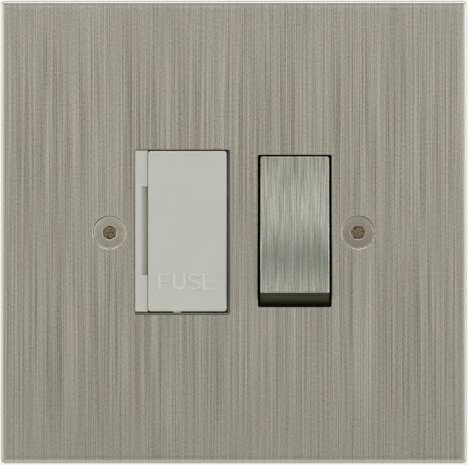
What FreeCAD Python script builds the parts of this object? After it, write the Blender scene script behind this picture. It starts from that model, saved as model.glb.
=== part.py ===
"""Fused spur unit: a brushed steel front plate with a fuse drawer and a rocker switch.

The unit stands as it hangs on a wall: X runs to the right, Z up, and the front looks toward -Y.
The wall plane is Y = 0 and the origin lies midway between the two fixing screws.
All sizes are in millimetres and are kept in the sheet named Sizes.
"""
import FreeCAD
import Part
import math
import os
import re
import Sketcher

SIZES = {
    # front plate and the thin insulating liner behind it
    "plate_width": 112.8,
    "plate_height": 112.0,
    "plate_thickness": 2.5,
    "plate_bevel": 0.8,
    "plate_corner": 1.0,
    "liner_thickness": 0.8,
    "liner_inset": 0.9,
    "liner_case_gap": 1.0,
    # fixing screws
    "fixing_half_pitch": 30.15,
    "fixing_shank_radius": 1.75,
    "fixing_neck_radius": 1.55,
    "fixing_hole_gap": 0.35,
    "fixing_liner_gap": 0.55,
    "fixing_sink_radius": 4.1,
    "fixing_head_radius": 3.95,
    "fixing_head_edge": 0.1,
    "fixing_length": 22.0,
    "fixing_seat_gap": 0.03,
    "recess_core_radius": 1.36,
    "recess_lobe_radius": 0.26,
    "recess_lobe_step": 0.0,
    "recess_depth": 1.4,
    # openings in the plate
    "fuse_window_left": -23.95,
    "fuse_window_right": -0.95,
    "fuse_window_half_height": 19.95,
    "window_corner": 0.35,
    "rocker_centre_x": 14.75,
    "rocker_centre_z": 0.32,
    "rocker_window_half_width": 8.95,
    "rocker_window_half_height": 18.43,
    # case: two front mouldings and a rear housing
    "case_wall": 1.5,
    "case_corner": 1.5,
    "case_rim_bevel": 0.4,
    "partition_wall": 1.7,
    "flange_thickness": 2.0,
    "split_behind_pivot": 4.0,
    "floor_behind_contacts": 5.3,
    "floor_thickness": 2.5,
    "frame_gap": 0.2,
    "insert_gap": 0.08,
    # studs of the plate
    "stud_radius": 1.5,
    "stud_hole_gap": 0.15,
    "stud_length": 6.8,
    "fuse_stud_x": -12.45,
    "nut_across_flats": 5.5,
    "nut_thickness": 2.4,
    "nut_inner_gap": 0.53,
    "nut_outer_gap": 0.45,
    "nut_bore_gap": 0.05,
    # fuse side: strip, notch, shelf and well
    "strip_proud": 0.5,
    "strip_width": 3.15,
    "strip_foot_gap": 0.73,
    "strip_top_gap": 0.2,
    "strip_edge": 0.2,
    "notch_width": 1.54,
    "notch_foot": -10.34,
    "notch_top": 11.06,
    "notch_depth": 1.6,
    "shelf_back": 1.1,
    "ledge_width": 0.55,
    "ledge_height": 0.38,
    # fuse drawer
    "cover_left_gap": 0.08,
    "cover_right_gap": 0.79,
    "cover_foot_gap": 0.8,
    "cover_top_gap": 0.32,
    "cover_proud": 1.2,
    "cover_thickness": 2.2,
    "cover_corner": 0.65,
    "cover_edge": 0.45,
    "nib_offset": 2.5,
    "nib_width": 1.9,
    "nib_drop": 0.3,
    "nib_thickness": 1.0,
    "drawer_travel": 12.0,
    "rail_half_height": 16.0,
    "rail_thickness": 1.3,
    "rail_left_gap": 0.4,
    "rail_right_gap": 0.4,
    "rail_guide_gap": 0.2,
    "guide_thickness": 1.4,
    "guide_overhang": 0.6,
    "hook_out": 1.1,
    "hook_thickness": 1.5,
    "hook_inset": 1.0,
    "hook_height": 4.0,
    # fuse link and its clips
    "fuse_depth": 2.5,
    "fuse_half_length": 12.7,
    "fuse_cap_radius": 3.175,
    "fuse_cap_length": 6.2,
    "fuse_barrel_radius": 2.9,
    "fuse_bore_radius": 1.9,
    "fuse_element_radius": 0.25,
    "cap_wall": 0.4,
    "saddle_wall": 1.5,
    "saddle_half_height": 5.4,
    "saddle_back": 2.1,
    "saddle_gap": 0.04,
    "end_rib_gap": 0.2,
    "end_rib_thickness": 1.3,
    "clip_gap": 0.045,
    "clip_thickness": 0.5,
    "clip_inset": 0.5,
    "clip_height": 5.0,
    "clip_floor_gap": 1.425,
    "clip_mouth": 2.1,
    "clip_flare": 0.45,
    "pedestal_side": 0.78,
    "pedestal_inner": 1.2,
    "pedestal_outer": 0.8,
    "strap_half_width": 2.0,
    "strap_thickness": 0.6,
    # rocker, in its own frame about the pivot
    "pivot_depth": 7.0,
    "rocker_tilt": 7.0,
    "rocker_side_gap": 0.65,
    "rocker_end_gap": 1.86,
    "rocker_reach": 12.7,
    "rocker_hollow_radius": 140.0,
    "cap_thickness": 1.0,
    "rocker_corner": 0.55,
    "rocker_waist_gap": 1.33,
    "rocker_waist_reach": 9.95,
    "rocker_skirt_reach": 5.0,
    "rocker_skirt_step": 0.77,
    "rocker_wall": 1.4,
    "rocker_crown_depth": 4.2,
    "trunnion_radius": 1.6,
    "trunnion_length": 1.6,
    "trunnion_gap": 0.05,
    "cheek_radius": 3.0,
    "cheek_half_length": 12.0,
    "cheek_reach": 5.3,
    "well_end_step": 1.0,
    "well_side_gap": 0.2,
    "well_lip_overlap": 0.35,
    "well_lip_thickness": 0.5,
    "stop_gap": 0.06,
    "stop_height": 1.7,
    "stop_thickness": 1.5,
    # plungers and springs in the posts of the rocker
    "pole_offset": 4.5,
    "post_radius": 2.5,
    "post_root_depth": 2.8,
    "post_end": 6.5,
    "post_bore_end": -4.0,
    "plunger_radius": 1.4,
    "plunger_gap": 0.05,
    "plunger_tip": 9.0,
    "plunger_length": 6.0,
    "spring_radius": 1.0,
    "spring_wire_radius": 0.18,
    "spring_turns": 6.0,
    # see-saw contacts
    "contact_ratio": 1.2,
    "contact_meet_gap": 0.03,
    "contact_rise": 1.17,
    "contact_thickness": 0.8,
    "contact_half_width": 2.3,
    "contact_half_length": 10.4,
    "contact_hub_radius": 0.7,
    "contact_hub_gap": 0.05,
    "tip_inset": 1.5,
    "tip_radius": 1.4,
    "tip_thickness": 0.8,
    "tip_meet_gap": 0.04,
    "fixed_strip_start": 3.1,
    "link_thickness": 0.8,
    "link_end_inset": 1.0,
    "fulcrum_half_height": 1.7,
    # terminals
    "block_side_gap": 1.0,
    "block_length": 8.4,
    "block_depth": 8.0,
    "block_seat": 1.5,
    "wire_bore_radius": 2.1,
    "wire_bore_behind": 4.5,
    "wire_bore_wall": 1.5,
    "wire_notch_gap": 0.6,
    "clamp_radius": 2.0,
    "clamp_head_radius": 2.8,
    "clamp_head_lift": 1.0,
    "clamp_head_length": 2.4,
    "clamp_back_off": 0.2,
    "clamp_inset": 3.5,
    "clamp_hole_gap": 0.3,
    "clamp_thread_gap": 0.05,
    "block_rib_thickness": 1.2,
    "block_rib_gap": 0.1,
    "earth_leg_inset": 1.1,
    "earth_strap_half_width": 3.4,
    "earth_strap_over": 2.9,
    # screws that hold the rear housing
    "case_screw_inset": 4.0,
    "case_screw_radius": 1.45,
    "case_screw_hole_gap": 0.05,
    "case_screw_pass_gap": 0.25,
    "case_screw_head_radius": 2.7,
    "case_screw_head_depth": 2.0,
    "case_screw_head_gap": 0.2,
    "case_screw_reach": 6.7,
    "case_screw_tip_gap": 0.3,
    "case_boss_radius": 3.0,
    "case_boss_inset": 0.3,
    "case_boss_edge": 0.8,
    "screw_slot_half_width": 0.35,
    "screw_slot_depth": 0.8,
    # snap tongues of the rear housing
    "tongue_half_width": 1.6,
    "tongue_thickness": 1.2,
    "tongue_gap": 0.1,
    "tongue_length": 4.0,
    "tongue_root_length": 1.5,
    "tongue_nose": 0.9,
    "tongue_nose_length": 1.4,
    "snap_window_gap": 0.2,
}

# sizes and places that follow from the driving ones
WORKED_OUT = {
    "case_half_width": "rocker_centre_x + rocker_window_half_width + well_side_gap + case_wall",
    "case_half_height": "rocker_centre_z + well_half_length + case_wall + nut_inner_gap"
                        " + nut_across_flats + nut_outer_gap + case_wall",
    "well_half_length": "rocker_skirt_length + well_end_step",
    "frame_split": "rocker_centre_x - rocker_window_half_width - well_side_gap - partition_wall"
                   " - frame_gap / 2",
    "split_depth": "pivot_depth + split_behind_pivot",
    "floor_face": "contact_axis_depth + floor_behind_contacts",
    "case_depth": "floor_face + floor_thickness",
    "link_face": "floor_face - link_thickness",
    "liner_opening_half_width": "case_half_width + liner_case_gap",
    "liner_opening_half_height": "case_half_height + liner_case_gap",
    "fixing_hole_radius": "fixing_shank_radius + fixing_hole_gap",
    "fixing_head_face": "plate_face + fixing_sink_radius - fixing_head_radius - fixing_head_edge"
                        " - fixing_seat_gap",
    "fixing_liner_hole_radius": "fixing_shank_radius + fixing_liner_gap",
    "recess_lobe_offset": "recess_core_radius + recess_lobe_step",
    "plate_rear": "-liner_thickness",
    "plate_face": "-liner_thickness - plate_thickness",
    "flange_rear": "flange_thickness - liner_thickness",
    "stud_height": "case_half_height - case_wall - nut_outer_gap - nut_across_flats / 2",
    "stud_hole_radius": "stud_radius + stud_hole_gap",
    "strip_inner_x": "fuse_window_left + strip_width",
    "strip_foot": "strip_foot_gap - fuse_window_half_height",
    "strip_top": "fuse_window_half_height - strip_top_gap",
    "strip_face": "plate_face - strip_proud",
    "notch_left": "strip_inner_x - notch_width",
    "well_right": "fuse_window_right - ledge_width",
    "well_foot": "ledge_height - fuse_window_half_height",
    "cover_left": "strip_inner_x + cover_left_gap",
    "cover_right": "fuse_window_right - cover_right_gap",
    "cover_foot": "cover_foot_gap - fuse_window_half_height",
    "cover_top": "fuse_window_half_height - cover_top_gap",
    "cover_face": "plate_face - cover_proud",
    "cover_rear": "cover_face + cover_thickness",
    "nib_left": "fuse_x - nib_offset - nib_width / 2",
    "nib_right": "fuse_x - nib_offset + nib_width / 2",
    "rail_left": "strip_inner_x + rail_left_gap",
    "rail_right": "well_right - rail_right_gap",
    "rail_end": "flange_rear + drawer_travel + hook_thickness",
    "hook_low": "rail_half_height - hook_inset - hook_height",
    "hook_high": "rail_half_height - hook_inset",
    "fuse_x": "(cover_left + cover_right) / 2",
    "saddle_half_width": "fuse_barrel_radius + saddle_wall",
    "clip_high": "fuse_half_length - clip_inset",
    "clip_low": "clip_high - clip_height",
    "clip_base_depth": "fuse_depth + fuse_cap_radius + clip_floor_gap",
    "clip_seat": "clip_base_depth + strap_thickness",
    "clip_mouth_depth": "fuse_depth - clip_mouth",
    "clip_inner": "fuse_cap_radius + clip_gap",
    "clip_outer": "fuse_cap_radius + clip_gap + clip_thickness",
    "pedestal_half_width": "clip_outer + pedestal_side",
    "pedestal_low": "clip_low - pedestal_inner",
    "pedestal_high": "clip_high + pedestal_outer",
    "rocker_half_width": "rocker_window_half_width - rocker_side_gap",
    "rocker_half_length": "rocker_window_half_height - rocker_end_gap",
    "rocker_waist_length": "rocker_window_half_height - rocker_waist_gap",
    "rocker_skirt_length": "rocker_window_half_height + rocker_skirt_step",
    "rocker_skirt_bulge": "sqrt(rocker_skirt_length * rocker_skirt_length"
                          " + rocker_skirt_reach * rocker_skirt_reach)",
    "contact_axis_depth": "pivot_depth + plunger_tip + contact_meet_gap + contact_rise",
    "tip_reach": "contact_half_length - tip_inset",
    "tip_end": "tip_reach + tip_radius",
    "fixed_tip_face": "contact_axis_depth - (contact_rise - contact_thickness - tip_thickness)"
                      " * cos(contact_ratio * rocker_tilt * 1 deg)"
                      " + tip_end * sin(contact_ratio * rocker_tilt * 1 deg) + tip_meet_gap",
    "fixed_strip_face": "fixed_tip_face + tip_thickness",
    "fixed_strip_low": "tip_reach - fixed_strip_start",
    "block_half_width": "pole_offset - block_side_gap",
    "block_high": "case_half_height - case_wall - block_rib_gap",
    "block_low": "block_high - block_length",
    "block_back": "floor_face - block_seat",
    "block_front": "block_back - block_depth",
    "wire_bore_depth": "block_back - wire_bore_behind",
    "wire_bore_end": "block_low + wire_bore_wall",
    "wire_notch_half_width": "wire_bore_radius + wire_notch_gap",
    "clamp_z": "block_high - clamp_inset",
    "clamp_head_front": "block_back + clamp_head_lift",
    "clamp_head_back": "clamp_head_front + clamp_head_length",
    "clamp_tip": "wire_bore_depth + wire_bore_radius + clamp_back_off",
    "clamp_hole_radius": "clamp_head_radius + clamp_hole_gap",
    "earth_leg_z": "block_low + earth_leg_inset",
    "earth_strap_top": "stud_height + earth_strap_over",
    "case_screw_z": "case_half_height - case_screw_inset",
    "case_screw_left": "case_boss_radius + case_boss_edge - case_half_width",
    "case_screw_right": "frame_split - frame_gap / 2 - case_boss_radius - case_boss_inset",
    "case_screw_hole_radius": "case_screw_radius + case_screw_hole_gap",
    "case_screw_pass_radius": "case_screw_radius + case_screw_pass_gap",
    "case_screw_tip": "split_depth - case_screw_reach",
    "tongue_front": "split_depth - tongue_length",
}

# the two poles of the switch
LIVE_X = "rocker_centre_x - pole_offset"
NEUTRAL_X = "rocker_centre_x + pole_offset"

PLANES = {"X": "YZ_Plane", "Y": "XZ_Plane", "Z": "XY_Plane"}
TURN_TO_AXIS = {
    "X": FreeCAD.Rotation(FreeCAD.Vector(0, 1, 0), 90),
    "Y": FreeCAD.Rotation(FreeCAD.Vector(1, 0, 0), -90),
    "Z": FreeCAD.Rotation(),
}

# how closely an edge must lie at a plane to be picked, and two points to be one
EDGE_TOLERANCE = 0.02
SAME_POINT = 1e-6
RECESS_LOBES = 6

doc = FreeCAD.newDocument("FusedSpur")
sheet = doc.addObject("Spreadsheet::Sheet", "Sizes")
for row, (alias, size) in enumerate(SIZES.items(), start=1):
    sheet.set("A%d" % row, alias.replace("_", " "))
    sheet.set("B%d" % row, repr(size))
    sheet.setAlias("B%d" % row, alias)
doc.recompute()

nodes = {}


def formula(text):
    """Return an expression with every size name bound to the sheet."""
    def bind(match):
        word = match.group(0)
        if word in WORKED_OUT:
            return "(%s)" % formula(WORKED_OUT[word])
        return "Sizes." + word if word in SIZES else word
    return re.sub(r"[a-z_]+", bind, text)


def number(text):
    """Return the present value of an expression."""
    return float(sheet.evalExpression(formula(text)))


def keep(name, item):
    """Label an object as a finished piece and return it."""
    item.Label = name
    nodes[name] = item
    return item


# sketches and features of bodies

def rectangle(low_a, high_a, low_b, high_b):
    """Return a closed loop of four corners."""
    return [(low_a, low_b, None), (high_a, low_b, None), (high_a, high_b, None), (low_a, high_b, None)]


def rounded(low_a, high_a, low_b, high_b, radius):
    """Return a closed loop of a rectangle with round corners."""
    return [
        ("(%s) + %s" % (low_a, radius), low_b, None),
        ("(%s) - %s" % (high_a, radius), low_b, None),
        (high_a, "(%s) + %s" % (low_b, radius), radius),
        (high_a, "(%s) - %s" % (high_b, radius), None),
        ("(%s) - %s" % (high_a, radius), high_b, radius),
        ("(%s) + %s" % (low_a, radius), high_b, None),
        (low_a, "(%s) - %s" % (high_b, radius), radius),
        (low_a, "(%s) + %s" % (low_b, radius), None),
        ("(%s) + %s" % (low_a, radius), low_b, radius),
    ]


def arc_between(start, end, radius):
    """Return the short arc between two points; a positive radius turns left, a negative one right."""
    middle = (start + end) * 0.5
    chord = end - start
    left = FreeCAD.Vector(-chord.y, chord.x, 0).normalize()
    rise = max(radius * radius - chord.Length * chord.Length * 0.25, 0.0) ** 0.5
    centre = middle + left * (rise if radius > 0 else -rise)
    first, last = (start, end) if radius > 0 else (end, start)
    low, high = [math.atan2(point.y - centre.y, point.x - centre.x) for point in (first, last)]
    if high < low:
        high += 2 * math.pi
    circle = Part.Circle(centre, FreeCAD.Vector(0, 0, 1), abs(radius))
    return Part.ArcOfCircle(circle, low, high)


def add_loop(sketch, loop):
    """Draw one closed loop of lines and arcs, with every corner bound to the sheet."""
    corners = [FreeCAD.Vector(number(a), number(b), 0) for a, b, bend in loop]
    if (corners[0] - corners[-1]).Length < SAME_POINT:
        loop = [(loop[0][0], loop[0][1], loop[-1][2])] + loop[1:-1]
        corners = corners[:-1]
    count = len(loop)
    first = sketch.GeometryCount
    bends = [loop[(index + 1) % count][2] for index in range(count)]
    starts, ends = [], []
    for index, bend in enumerate(bends):
        start, end = corners[index], corners[(index + 1) % count]
        if bend is None:
            sketch.addGeometry(Part.LineSegment(start, end), False)
            starts.append(1)
            ends.append(2)
            continue
        turn = number(bend)
        sketch.addGeometry(arc_between(start, end, turn), False)
        starts.append(1 if turn > 0 else 2)
        ends.append(2 if turn > 0 else 1)
    for index in range(count):
        following = (index + 1) % count
        sketch.addConstraint(Sketcher.Constraint(
            "Coincident", first + index, ends[index], first + following, starts[following]))
    for index in range(count):
        for letter, value, text in zip("XY", corners[index], loop[index][:2]):
            made = sketch.addConstraint(Sketcher.Constraint(
                "Distance" + letter, -1, 1, first + index, starts[index], value))
            sketch.setExpression("Constraints[%d]" % made, formula(text))
    for index, bend in enumerate(bends):
        if bend is not None:
            made = sketch.addConstraint(Sketcher.Constraint("Radius", first + index, abs(number(bend))))
            sketch.setExpression("Constraints[%d]" % made, formula("abs(%s)" % bend))


def add_circle(sketch, circle):
    """Draw one circle bound to the sheet, given as centre and radius."""
    a, b, radius = circle
    centre = FreeCAD.Vector(number(a), number(b), 0)
    index = sketch.addGeometry(Part.Circle(centre, FreeCAD.Vector(0, 0, 1), number(radius)), False)
    for kind, value, text in (("DistanceX", centre.x, a), ("DistanceY", centre.y, b)):
        made = sketch.addConstraint(Sketcher.Constraint(kind, -1, 1, index, 3, value))
        sketch.setExpression("Constraints[%d]" % made, formula(text))
    made = sketch.addConstraint(Sketcher.Constraint("Radius", index, number(radius)))
    sketch.setExpression("Constraints[%d]" % made, formula(radius))


def volume_of(body):
    """Return the volume of a body, or nothing while it is empty."""
    return body.Shape.Volume if body.Tip else 0.0


def feature(body, name, axis, low, high, loops=(), circles=(), cut=False):
    """Pad or cut a body between two planes square to an axis."""
    before = volume_of(body)
    sketch = body.newObject("Sketcher::SketchObject", name + "_sketch")
    plane = [item for item in body.Origin.OriginFeatures if item.Role == PLANES[axis]][0]
    sketch.AttachmentSupport = (plane, [""])
    sketch.MapMode = "FlatFace"
    sign = "-" if axis == "Y" else ""
    start = high if (cut != (axis == "Y")) else low
    sketch.setExpression("AttachmentOffset.Base.z", formula("%s(%s)" % (sign, start)))
    for loop in loops:
        add_loop(sketch, list(loop))
    for circle in circles:
        add_circle(sketch, circle)
    made = body.newObject("PartDesign::Pocket" if cut else "PartDesign::Pad", name)
    made.Profile = sketch
    made.setExpression("Length", formula("(%s) - (%s)" % (high, low)))
    doc.recompute()
    change = body.Shape.Volume - before
    if not (change < 0 if cut else change > 0):
        raise RuntimeError("%s of %s changed nothing" % (name, body.Name))
    return made


def edges_where(item, test):
    """Return the names of the edges whose bounding box passes a test."""
    return ["Edge%d" % index for index, edge in enumerate(item.Shape.Edges, start=1) if test(edge.BoundBox)]


def soften(body, name, size, test, bevel=False):
    """Round or bevel the edges of a body that pass a test."""
    base = body.Tip
    made = body.newObject("PartDesign::Chamfer" if bevel else "PartDesign::Fillet", name)
    made.Base = (base, edges_where(base, test))
    made.setExpression("Size" if bevel else "Radius", formula(size))
    doc.recompute()
    return made


def flat_at(box, letter, value):
    """Tell whether a bounding box lies flat at one coordinate."""
    low, high = getattr(box, letter + "Min"), getattr(box, letter + "Max")
    return abs(low - value) < EDGE_TOLERANCE and abs(high - value) < EDGE_TOLERANCE


def runs_along_depth(box):
    """Tell whether the bounding box of an edge runs straight along Y."""
    return box.XLength < EDGE_TOLERANCE and box.ZLength < EDGE_TOLERANCE


def mirrored(low, high):
    """Return a range and its mirror image about zero."""
    return (low, high), ("-(%s)" % high, "-(%s)" % low)


# primitives and booleans

def place(item, x, y, z):
    """Bind the position of an object to three expressions."""
    for letter, text in zip("xyz", (x, y, z)):
        item.setExpression("Placement.Base." + letter, formula(text))


def block(name, x, y, z):
    """Return a box between three ranges."""
    item = doc.addObject("Part::Box", name)
    for letter, span in zip(("Length", "Width", "Height"), (x, y, z)):
        item.setExpression(letter, formula("(%s) - (%s)" % (span[1], span[0])))
    place(item, x[0], y[0], z[0])
    return item


def rod(name, axis, radius, x, y, z, length):
    """Return a cylinder that starts at a point and runs along an axis."""
    item = doc.addObject("Part::Cylinder", name)
    item.Placement = FreeCAD.Placement(FreeCAD.Vector(), TURN_TO_AXIS[axis])
    item.setExpression("Radius", formula(radius))
    item.setExpression("Height", formula(length))
    place(item, x, y, z)
    return item


def taper(name, axis, start_radius, end_radius, x, y, z, length):
    """Return a cone that starts at a point and runs along an axis."""
    item = doc.addObject("Part::Cone", name)
    item.Placement = FreeCAD.Placement(FreeCAD.Vector(), TURN_TO_AXIS[axis])
    item.setExpression("Radius1", formula(start_radius))
    item.setExpression("Radius2", formula(end_radius))
    item.setExpression("Height", formula(length))
    place(item, x, y, z)
    return item


def fuse(name, items):
    """Return the union of several objects."""
    made = doc.addObject("Part::MultiFuse", name)
    made.Shapes = items
    made.Refine = True
    return made


def cut(name, base, tool):
    """Return an object less another."""
    made = doc.addObject("Part::Cut", name)
    made.Base = base
    made.Tool = tool
    return made


def group(name, items):
    """Keep several separate solids as one piece."""
    made = doc.addObject("Part::Compound", name)
    made.Links = items
    return keep(name, made)


def new_body(name):
    """Start a body and keep it as a finished piece."""
    return keep(name, doc.addObject("PartDesign::Body", name))


def hang_on_pivot(item):
    """Place a piece of the rocker, made about its pivot, tilted as it rests."""
    item.Placement = FreeCAD.Placement(FreeCAD.Vector(), FreeCAD.Rotation(FreeCAD.Vector(1, 0, 0), -1))
    place(item, "rocker_centre_x", "pivot_depth", "rocker_centre_z")
    item.setExpression("Placement.Rotation.Angle", formula("-rocker_tilt"))


def hang_on_fulcrum(item, x):
    """Place a piece of a see-saw contact, made about its axis, tilted as it rests."""
    item.Placement = FreeCAD.Placement(FreeCAD.Vector(), FreeCAD.Rotation(FreeCAD.Vector(1, 0, 0), 1))
    place(item, x, "contact_axis_depth", "rocker_centre_z")
    item.setExpression("Placement.Rotation.Angle", formula("contact_ratio * rocker_tilt"))


# front plate: outline, bevel, two openings and two countersunk holes

plate = new_body("front_plate")
fuse_opening = rounded("fuse_window_left", "fuse_window_right",
                       "-fuse_window_half_height", "fuse_window_half_height", "window_corner")
rocker_opening = rounded("rocker_centre_x - rocker_window_half_width",
                         "rocker_centre_x + rocker_window_half_width",
                         "rocker_centre_z - rocker_window_half_height",
                         "rocker_centre_z + rocker_window_half_height", "window_corner")
feature(plate, "plate_blank", "Y", "plate_face", "plate_rear",
        [rounded("-plate_width / 2", "plate_width / 2",
                 "-plate_height / 2", "plate_height / 2", "plate_corner"),
         fuse_opening, rocker_opening],
        [("-fixing_half_pitch", "0", "fixing_hole_radius"),
         ("fixing_half_pitch", "0", "fixing_hole_radius")])


def on_plate_rim(box):
    """Tell the front edges of the outline from those of the openings."""
    out_x = max(abs(box.XMin), abs(box.XMax)) - number("plate_width / 2 - plate_corner")
    out_z = max(abs(box.ZMin), abs(box.ZMax)) - number("plate_height / 2 - plate_corner")
    return max(out_x, out_z) > EDGE_TOLERANCE and flat_at(box, "Y", number("plate_face"))


soften(plate, "plate_bevel_cut", "plate_bevel", on_plate_rim, bevel=True)


def sink_seat(box):
    """Find the front rims of the two screw holes."""
    wide = abs(box.XLength - 2 * number("fixing_hole_radius")) < EDGE_TOLERANCE
    return wide and flat_at(box, "Y", number("plate_face"))


soften(plate, "plate_sinks", "fixing_sink_radius - fixing_hole_radius", sink_seat, bevel=True)


def on_case_corner(box):
    """Find the edges that stand at the outer corners of the case."""
    at_side = abs(abs(box.XMin) - number("case_half_width")) < EDGE_TOLERANCE
    at_end = abs(abs(box.ZMin) - number("case_half_height")) < EDGE_TOLERANCE
    return runs_along_depth(box) and at_side and at_end


liner = new_body("plate_liner")
feature(liner, "liner_sheet", "Y", "plate_rear", "0",
        [rounded("liner_inset - plate_width / 2", "plate_width / 2 - liner_inset",
                 "liner_inset - plate_height / 2", "plate_height / 2 - liner_inset", "plate_corner"),
         rectangle("-liner_opening_half_width", "liner_opening_half_width",
                   "-liner_opening_half_height", "liner_opening_half_height")],
        [("-fixing_half_pitch", "0", "fixing_liner_hole_radius"),
         ("fixing_half_pitch", "0", "fixing_liner_hole_radius")])


# fixing screws: countersunk heads with a six-lobed recess, plain shanks

def fixing_screw(name, x):
    """Return one countersunk fixing screw: its full shank starts at the wall."""
    edge = rod(name + "_edge", "Y", "fixing_head_radius", x, "fixing_head_face", "0", "fixing_head_edge")
    cone = taper(name + "_cone", "Y", "fixing_head_radius", "fixing_neck_radius",
                 x, "fixing_head_face + fixing_head_edge", "0", "fixing_head_radius - fixing_neck_radius")
    neck = rod(name + "_neck", "Y", "fixing_neck_radius", x, "fixing_head_face", "0", "-fixing_head_face")
    shank = rod(name + "_shank", "Y", "fixing_shank_radius", x, "0", "0", "fixing_length")
    solid = fuse(name + "_blank", [edge, cone, neck, shank])
    lobes = [rod(name + "_core", "Y", "recess_core_radius", x, "fixing_head_face", "0", "recess_depth")]
    for step in range(RECESS_LOBES):
        angle = step * 360 // RECESS_LOBES
        lobes.append(rod("%s_lobe_%d" % (name, step), "Y", "recess_lobe_radius",
                         "%s + recess_lobe_offset * cos(%d deg)" % (x, angle), "fixing_head_face",
                         "recess_lobe_offset * sin(%d deg)" % angle, "recess_depth"))
    return cut(name, solid, fuse(name + "_recess", lobes))


group("fixing_screws", [fixing_screw("fixing_left", "-fixing_half_pitch"),
                        fixing_screw("fixing_right", "fixing_half_pitch")])


# four studs welded on the plate, with their nuts

STUD_PLACES = [(x, z) for x in ("fuse_stud_x", "rocker_centre_x") for z in ("stud_height", "-stud_height")]


def stud_nut(name, x, z, seat):
    """Return one hexagon nut on a stud."""
    nut = doc.addObject("Part::Prism", name + "_hexagon")
    nut.Polygon = 6
    nut.Placement = FreeCAD.Placement(FreeCAD.Vector(), TURN_TO_AXIS["Y"])
    nut.setExpression("Circumradius", formula("nut_across_flats / sqrt(3)"))
    nut.setExpression("Height", formula("nut_thickness"))
    place(nut, x, seat, z)
    return cut(name, nut, rod(name + "_bore", "Y", "stud_radius + nut_bore_gap", x, seat, z,
                              "nut_thickness"))


studs = []
nuts = []
for index, (stud_x, stud_z) in enumerate(STUD_PLACES):
    studs.append(rod("stud_%d" % index, "Y", "stud_radius", stud_x, "plate_rear", stud_z, "stud_length"))
    seat_depth = "flange_rear + strap_thickness" if index == 0 else "flange_rear"
    nuts.append(stud_nut("nut_%d" % index, stud_x, stud_z, seat_depth))
group("plate_studs", studs)
group("stud_nuts", nuts)

# front moulding of the fuse side: flange, skirt, strip, shelf, guides and bosses

fuse_frame = new_body("fuse_frame")
FRAME_RIGHT = "frame_split - frame_gap / 2"
feature(fuse_frame, "fuse_flange", "Y", "plate_rear", "flange_rear",
        [rectangle("-case_half_width", FRAME_RIGHT, "-case_half_height", "case_half_height"),
         rectangle("strip_inner_x", "well_right", "well_foot", "fuse_window_half_height")],
        [("fuse_stud_x", "stud_height", "stud_hole_radius"),
         ("fuse_stud_x", "-stud_height", "stud_hole_radius")])
feature(fuse_frame, "fuse_skirt", "Y", "flange_rear", "split_depth",
        [rectangle("-case_half_width", FRAME_RIGHT, "-case_half_height", "case_half_height"),
         rectangle("case_wall - case_half_width", FRAME_RIGHT + " - case_wall",
                   "case_wall - case_half_height", "case_half_height - case_wall")])
soften(fuse_frame, "fuse_case_corners", "case_corner", on_case_corner)
feature(fuse_frame, "fuse_strip", "Y", "strip_face", "plate_rear",
        [rectangle("fuse_window_left + insert_gap", "strip_inner_x", "strip_foot", "strip_top")])
soften(fuse_frame, "strip_rounding", "strip_edge", lambda box: flat_at(box, "Y", number("strip_face")))
feature(fuse_frame, "fuse_shelf", "Y", "shelf_back - liner_thickness - plate_thickness", "plate_rear",
        [rectangle("fuse_window_left + insert_gap", "fuse_window_right - insert_gap",
                   "insert_gap - fuse_window_half_height", "well_foot")])
feature(fuse_frame, "finger_notch", "Z", "notch_foot", "notch_top",
        [[("notch_left", "strip_face", None), ("strip_inner_x", "strip_face", None),
          ("strip_inner_x", "strip_face + notch_depth", None)]], cut=True)
GUIDES = (("case_wall - case_half_width", "rail_left + rail_thickness + guide_overhang"),
          ("rail_right - rail_thickness - guide_overhang", FRAME_RIGHT + " - case_wall"))
for side, (low_x, high_x) in enumerate(GUIDES):
    for place_index, (low_z, high_z) in enumerate(mirrored(
            "rail_half_height + rail_guide_gap", "rail_half_height + rail_guide_gap + guide_thickness")):
        feature(fuse_frame, "guide_%d_%d" % (side, place_index), "Y", "flange_rear", "split_depth",
                [rectangle(low_x, high_x, low_z, high_z)])
CASE_SCREWS = [(x, z) for x in ("case_screw_left", "case_screw_right")
               for z in ("case_screw_z", "-case_screw_z")]
for index, (boss_x, boss_z) in enumerate(CASE_SCREWS):
    feature(fuse_frame, "frame_boss_%d" % index, "Y", "flange_rear", "split_depth",
            circles=[(boss_x, boss_z, "case_boss_radius")])
feature(fuse_frame, "frame_pilots", "Y", "case_screw_tip - case_screw_tip_gap", "split_depth",
        circles=[(x, z, "case_screw_hole_radius") for x, z in CASE_SCREWS], cut=True)

# front moulding of the switch side: flange, well, bearings, stops and snap windows

switch_frame = new_body("switch_frame")
SWITCH_LEFT = "frame_split + frame_gap / 2"
WELL_LEFT = "rocker_centre_x - rocker_window_half_width - well_side_gap"
WELL_RIGHT = "rocker_centre_x + rocker_window_half_width + well_side_gap"
ROCKER_WELL = rectangle(WELL_LEFT, WELL_RIGHT, "rocker_centre_z - well_half_length",
                        "rocker_centre_z + well_half_length")
feature(switch_frame, "switch_flange", "Y", "plate_rear", "flange_rear",
        [rectangle(SWITCH_LEFT, "case_half_width", "-case_half_height", "case_half_height"), ROCKER_WELL],
        [("rocker_centre_x", "stud_height", "stud_hole_radius"),
         ("rocker_centre_x", "-stud_height", "stud_hole_radius")])
feature(switch_frame, "switch_walls", "Y", "flange_rear", "split_depth",
        [rectangle(SWITCH_LEFT, "case_half_width", "-case_half_height", "case_half_height"), ROCKER_WELL,
         rectangle(WELL_LEFT, WELL_RIGHT, "rocker_centre_z + well_half_length + case_wall",
                   "case_half_height - case_wall"),
         rectangle(WELL_LEFT, WELL_RIGHT, "case_wall - case_half_height",
                   "rocker_centre_z - well_half_length - case_wall")])
soften(switch_frame, "switch_case_corners", "case_corner", on_case_corner)
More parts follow.
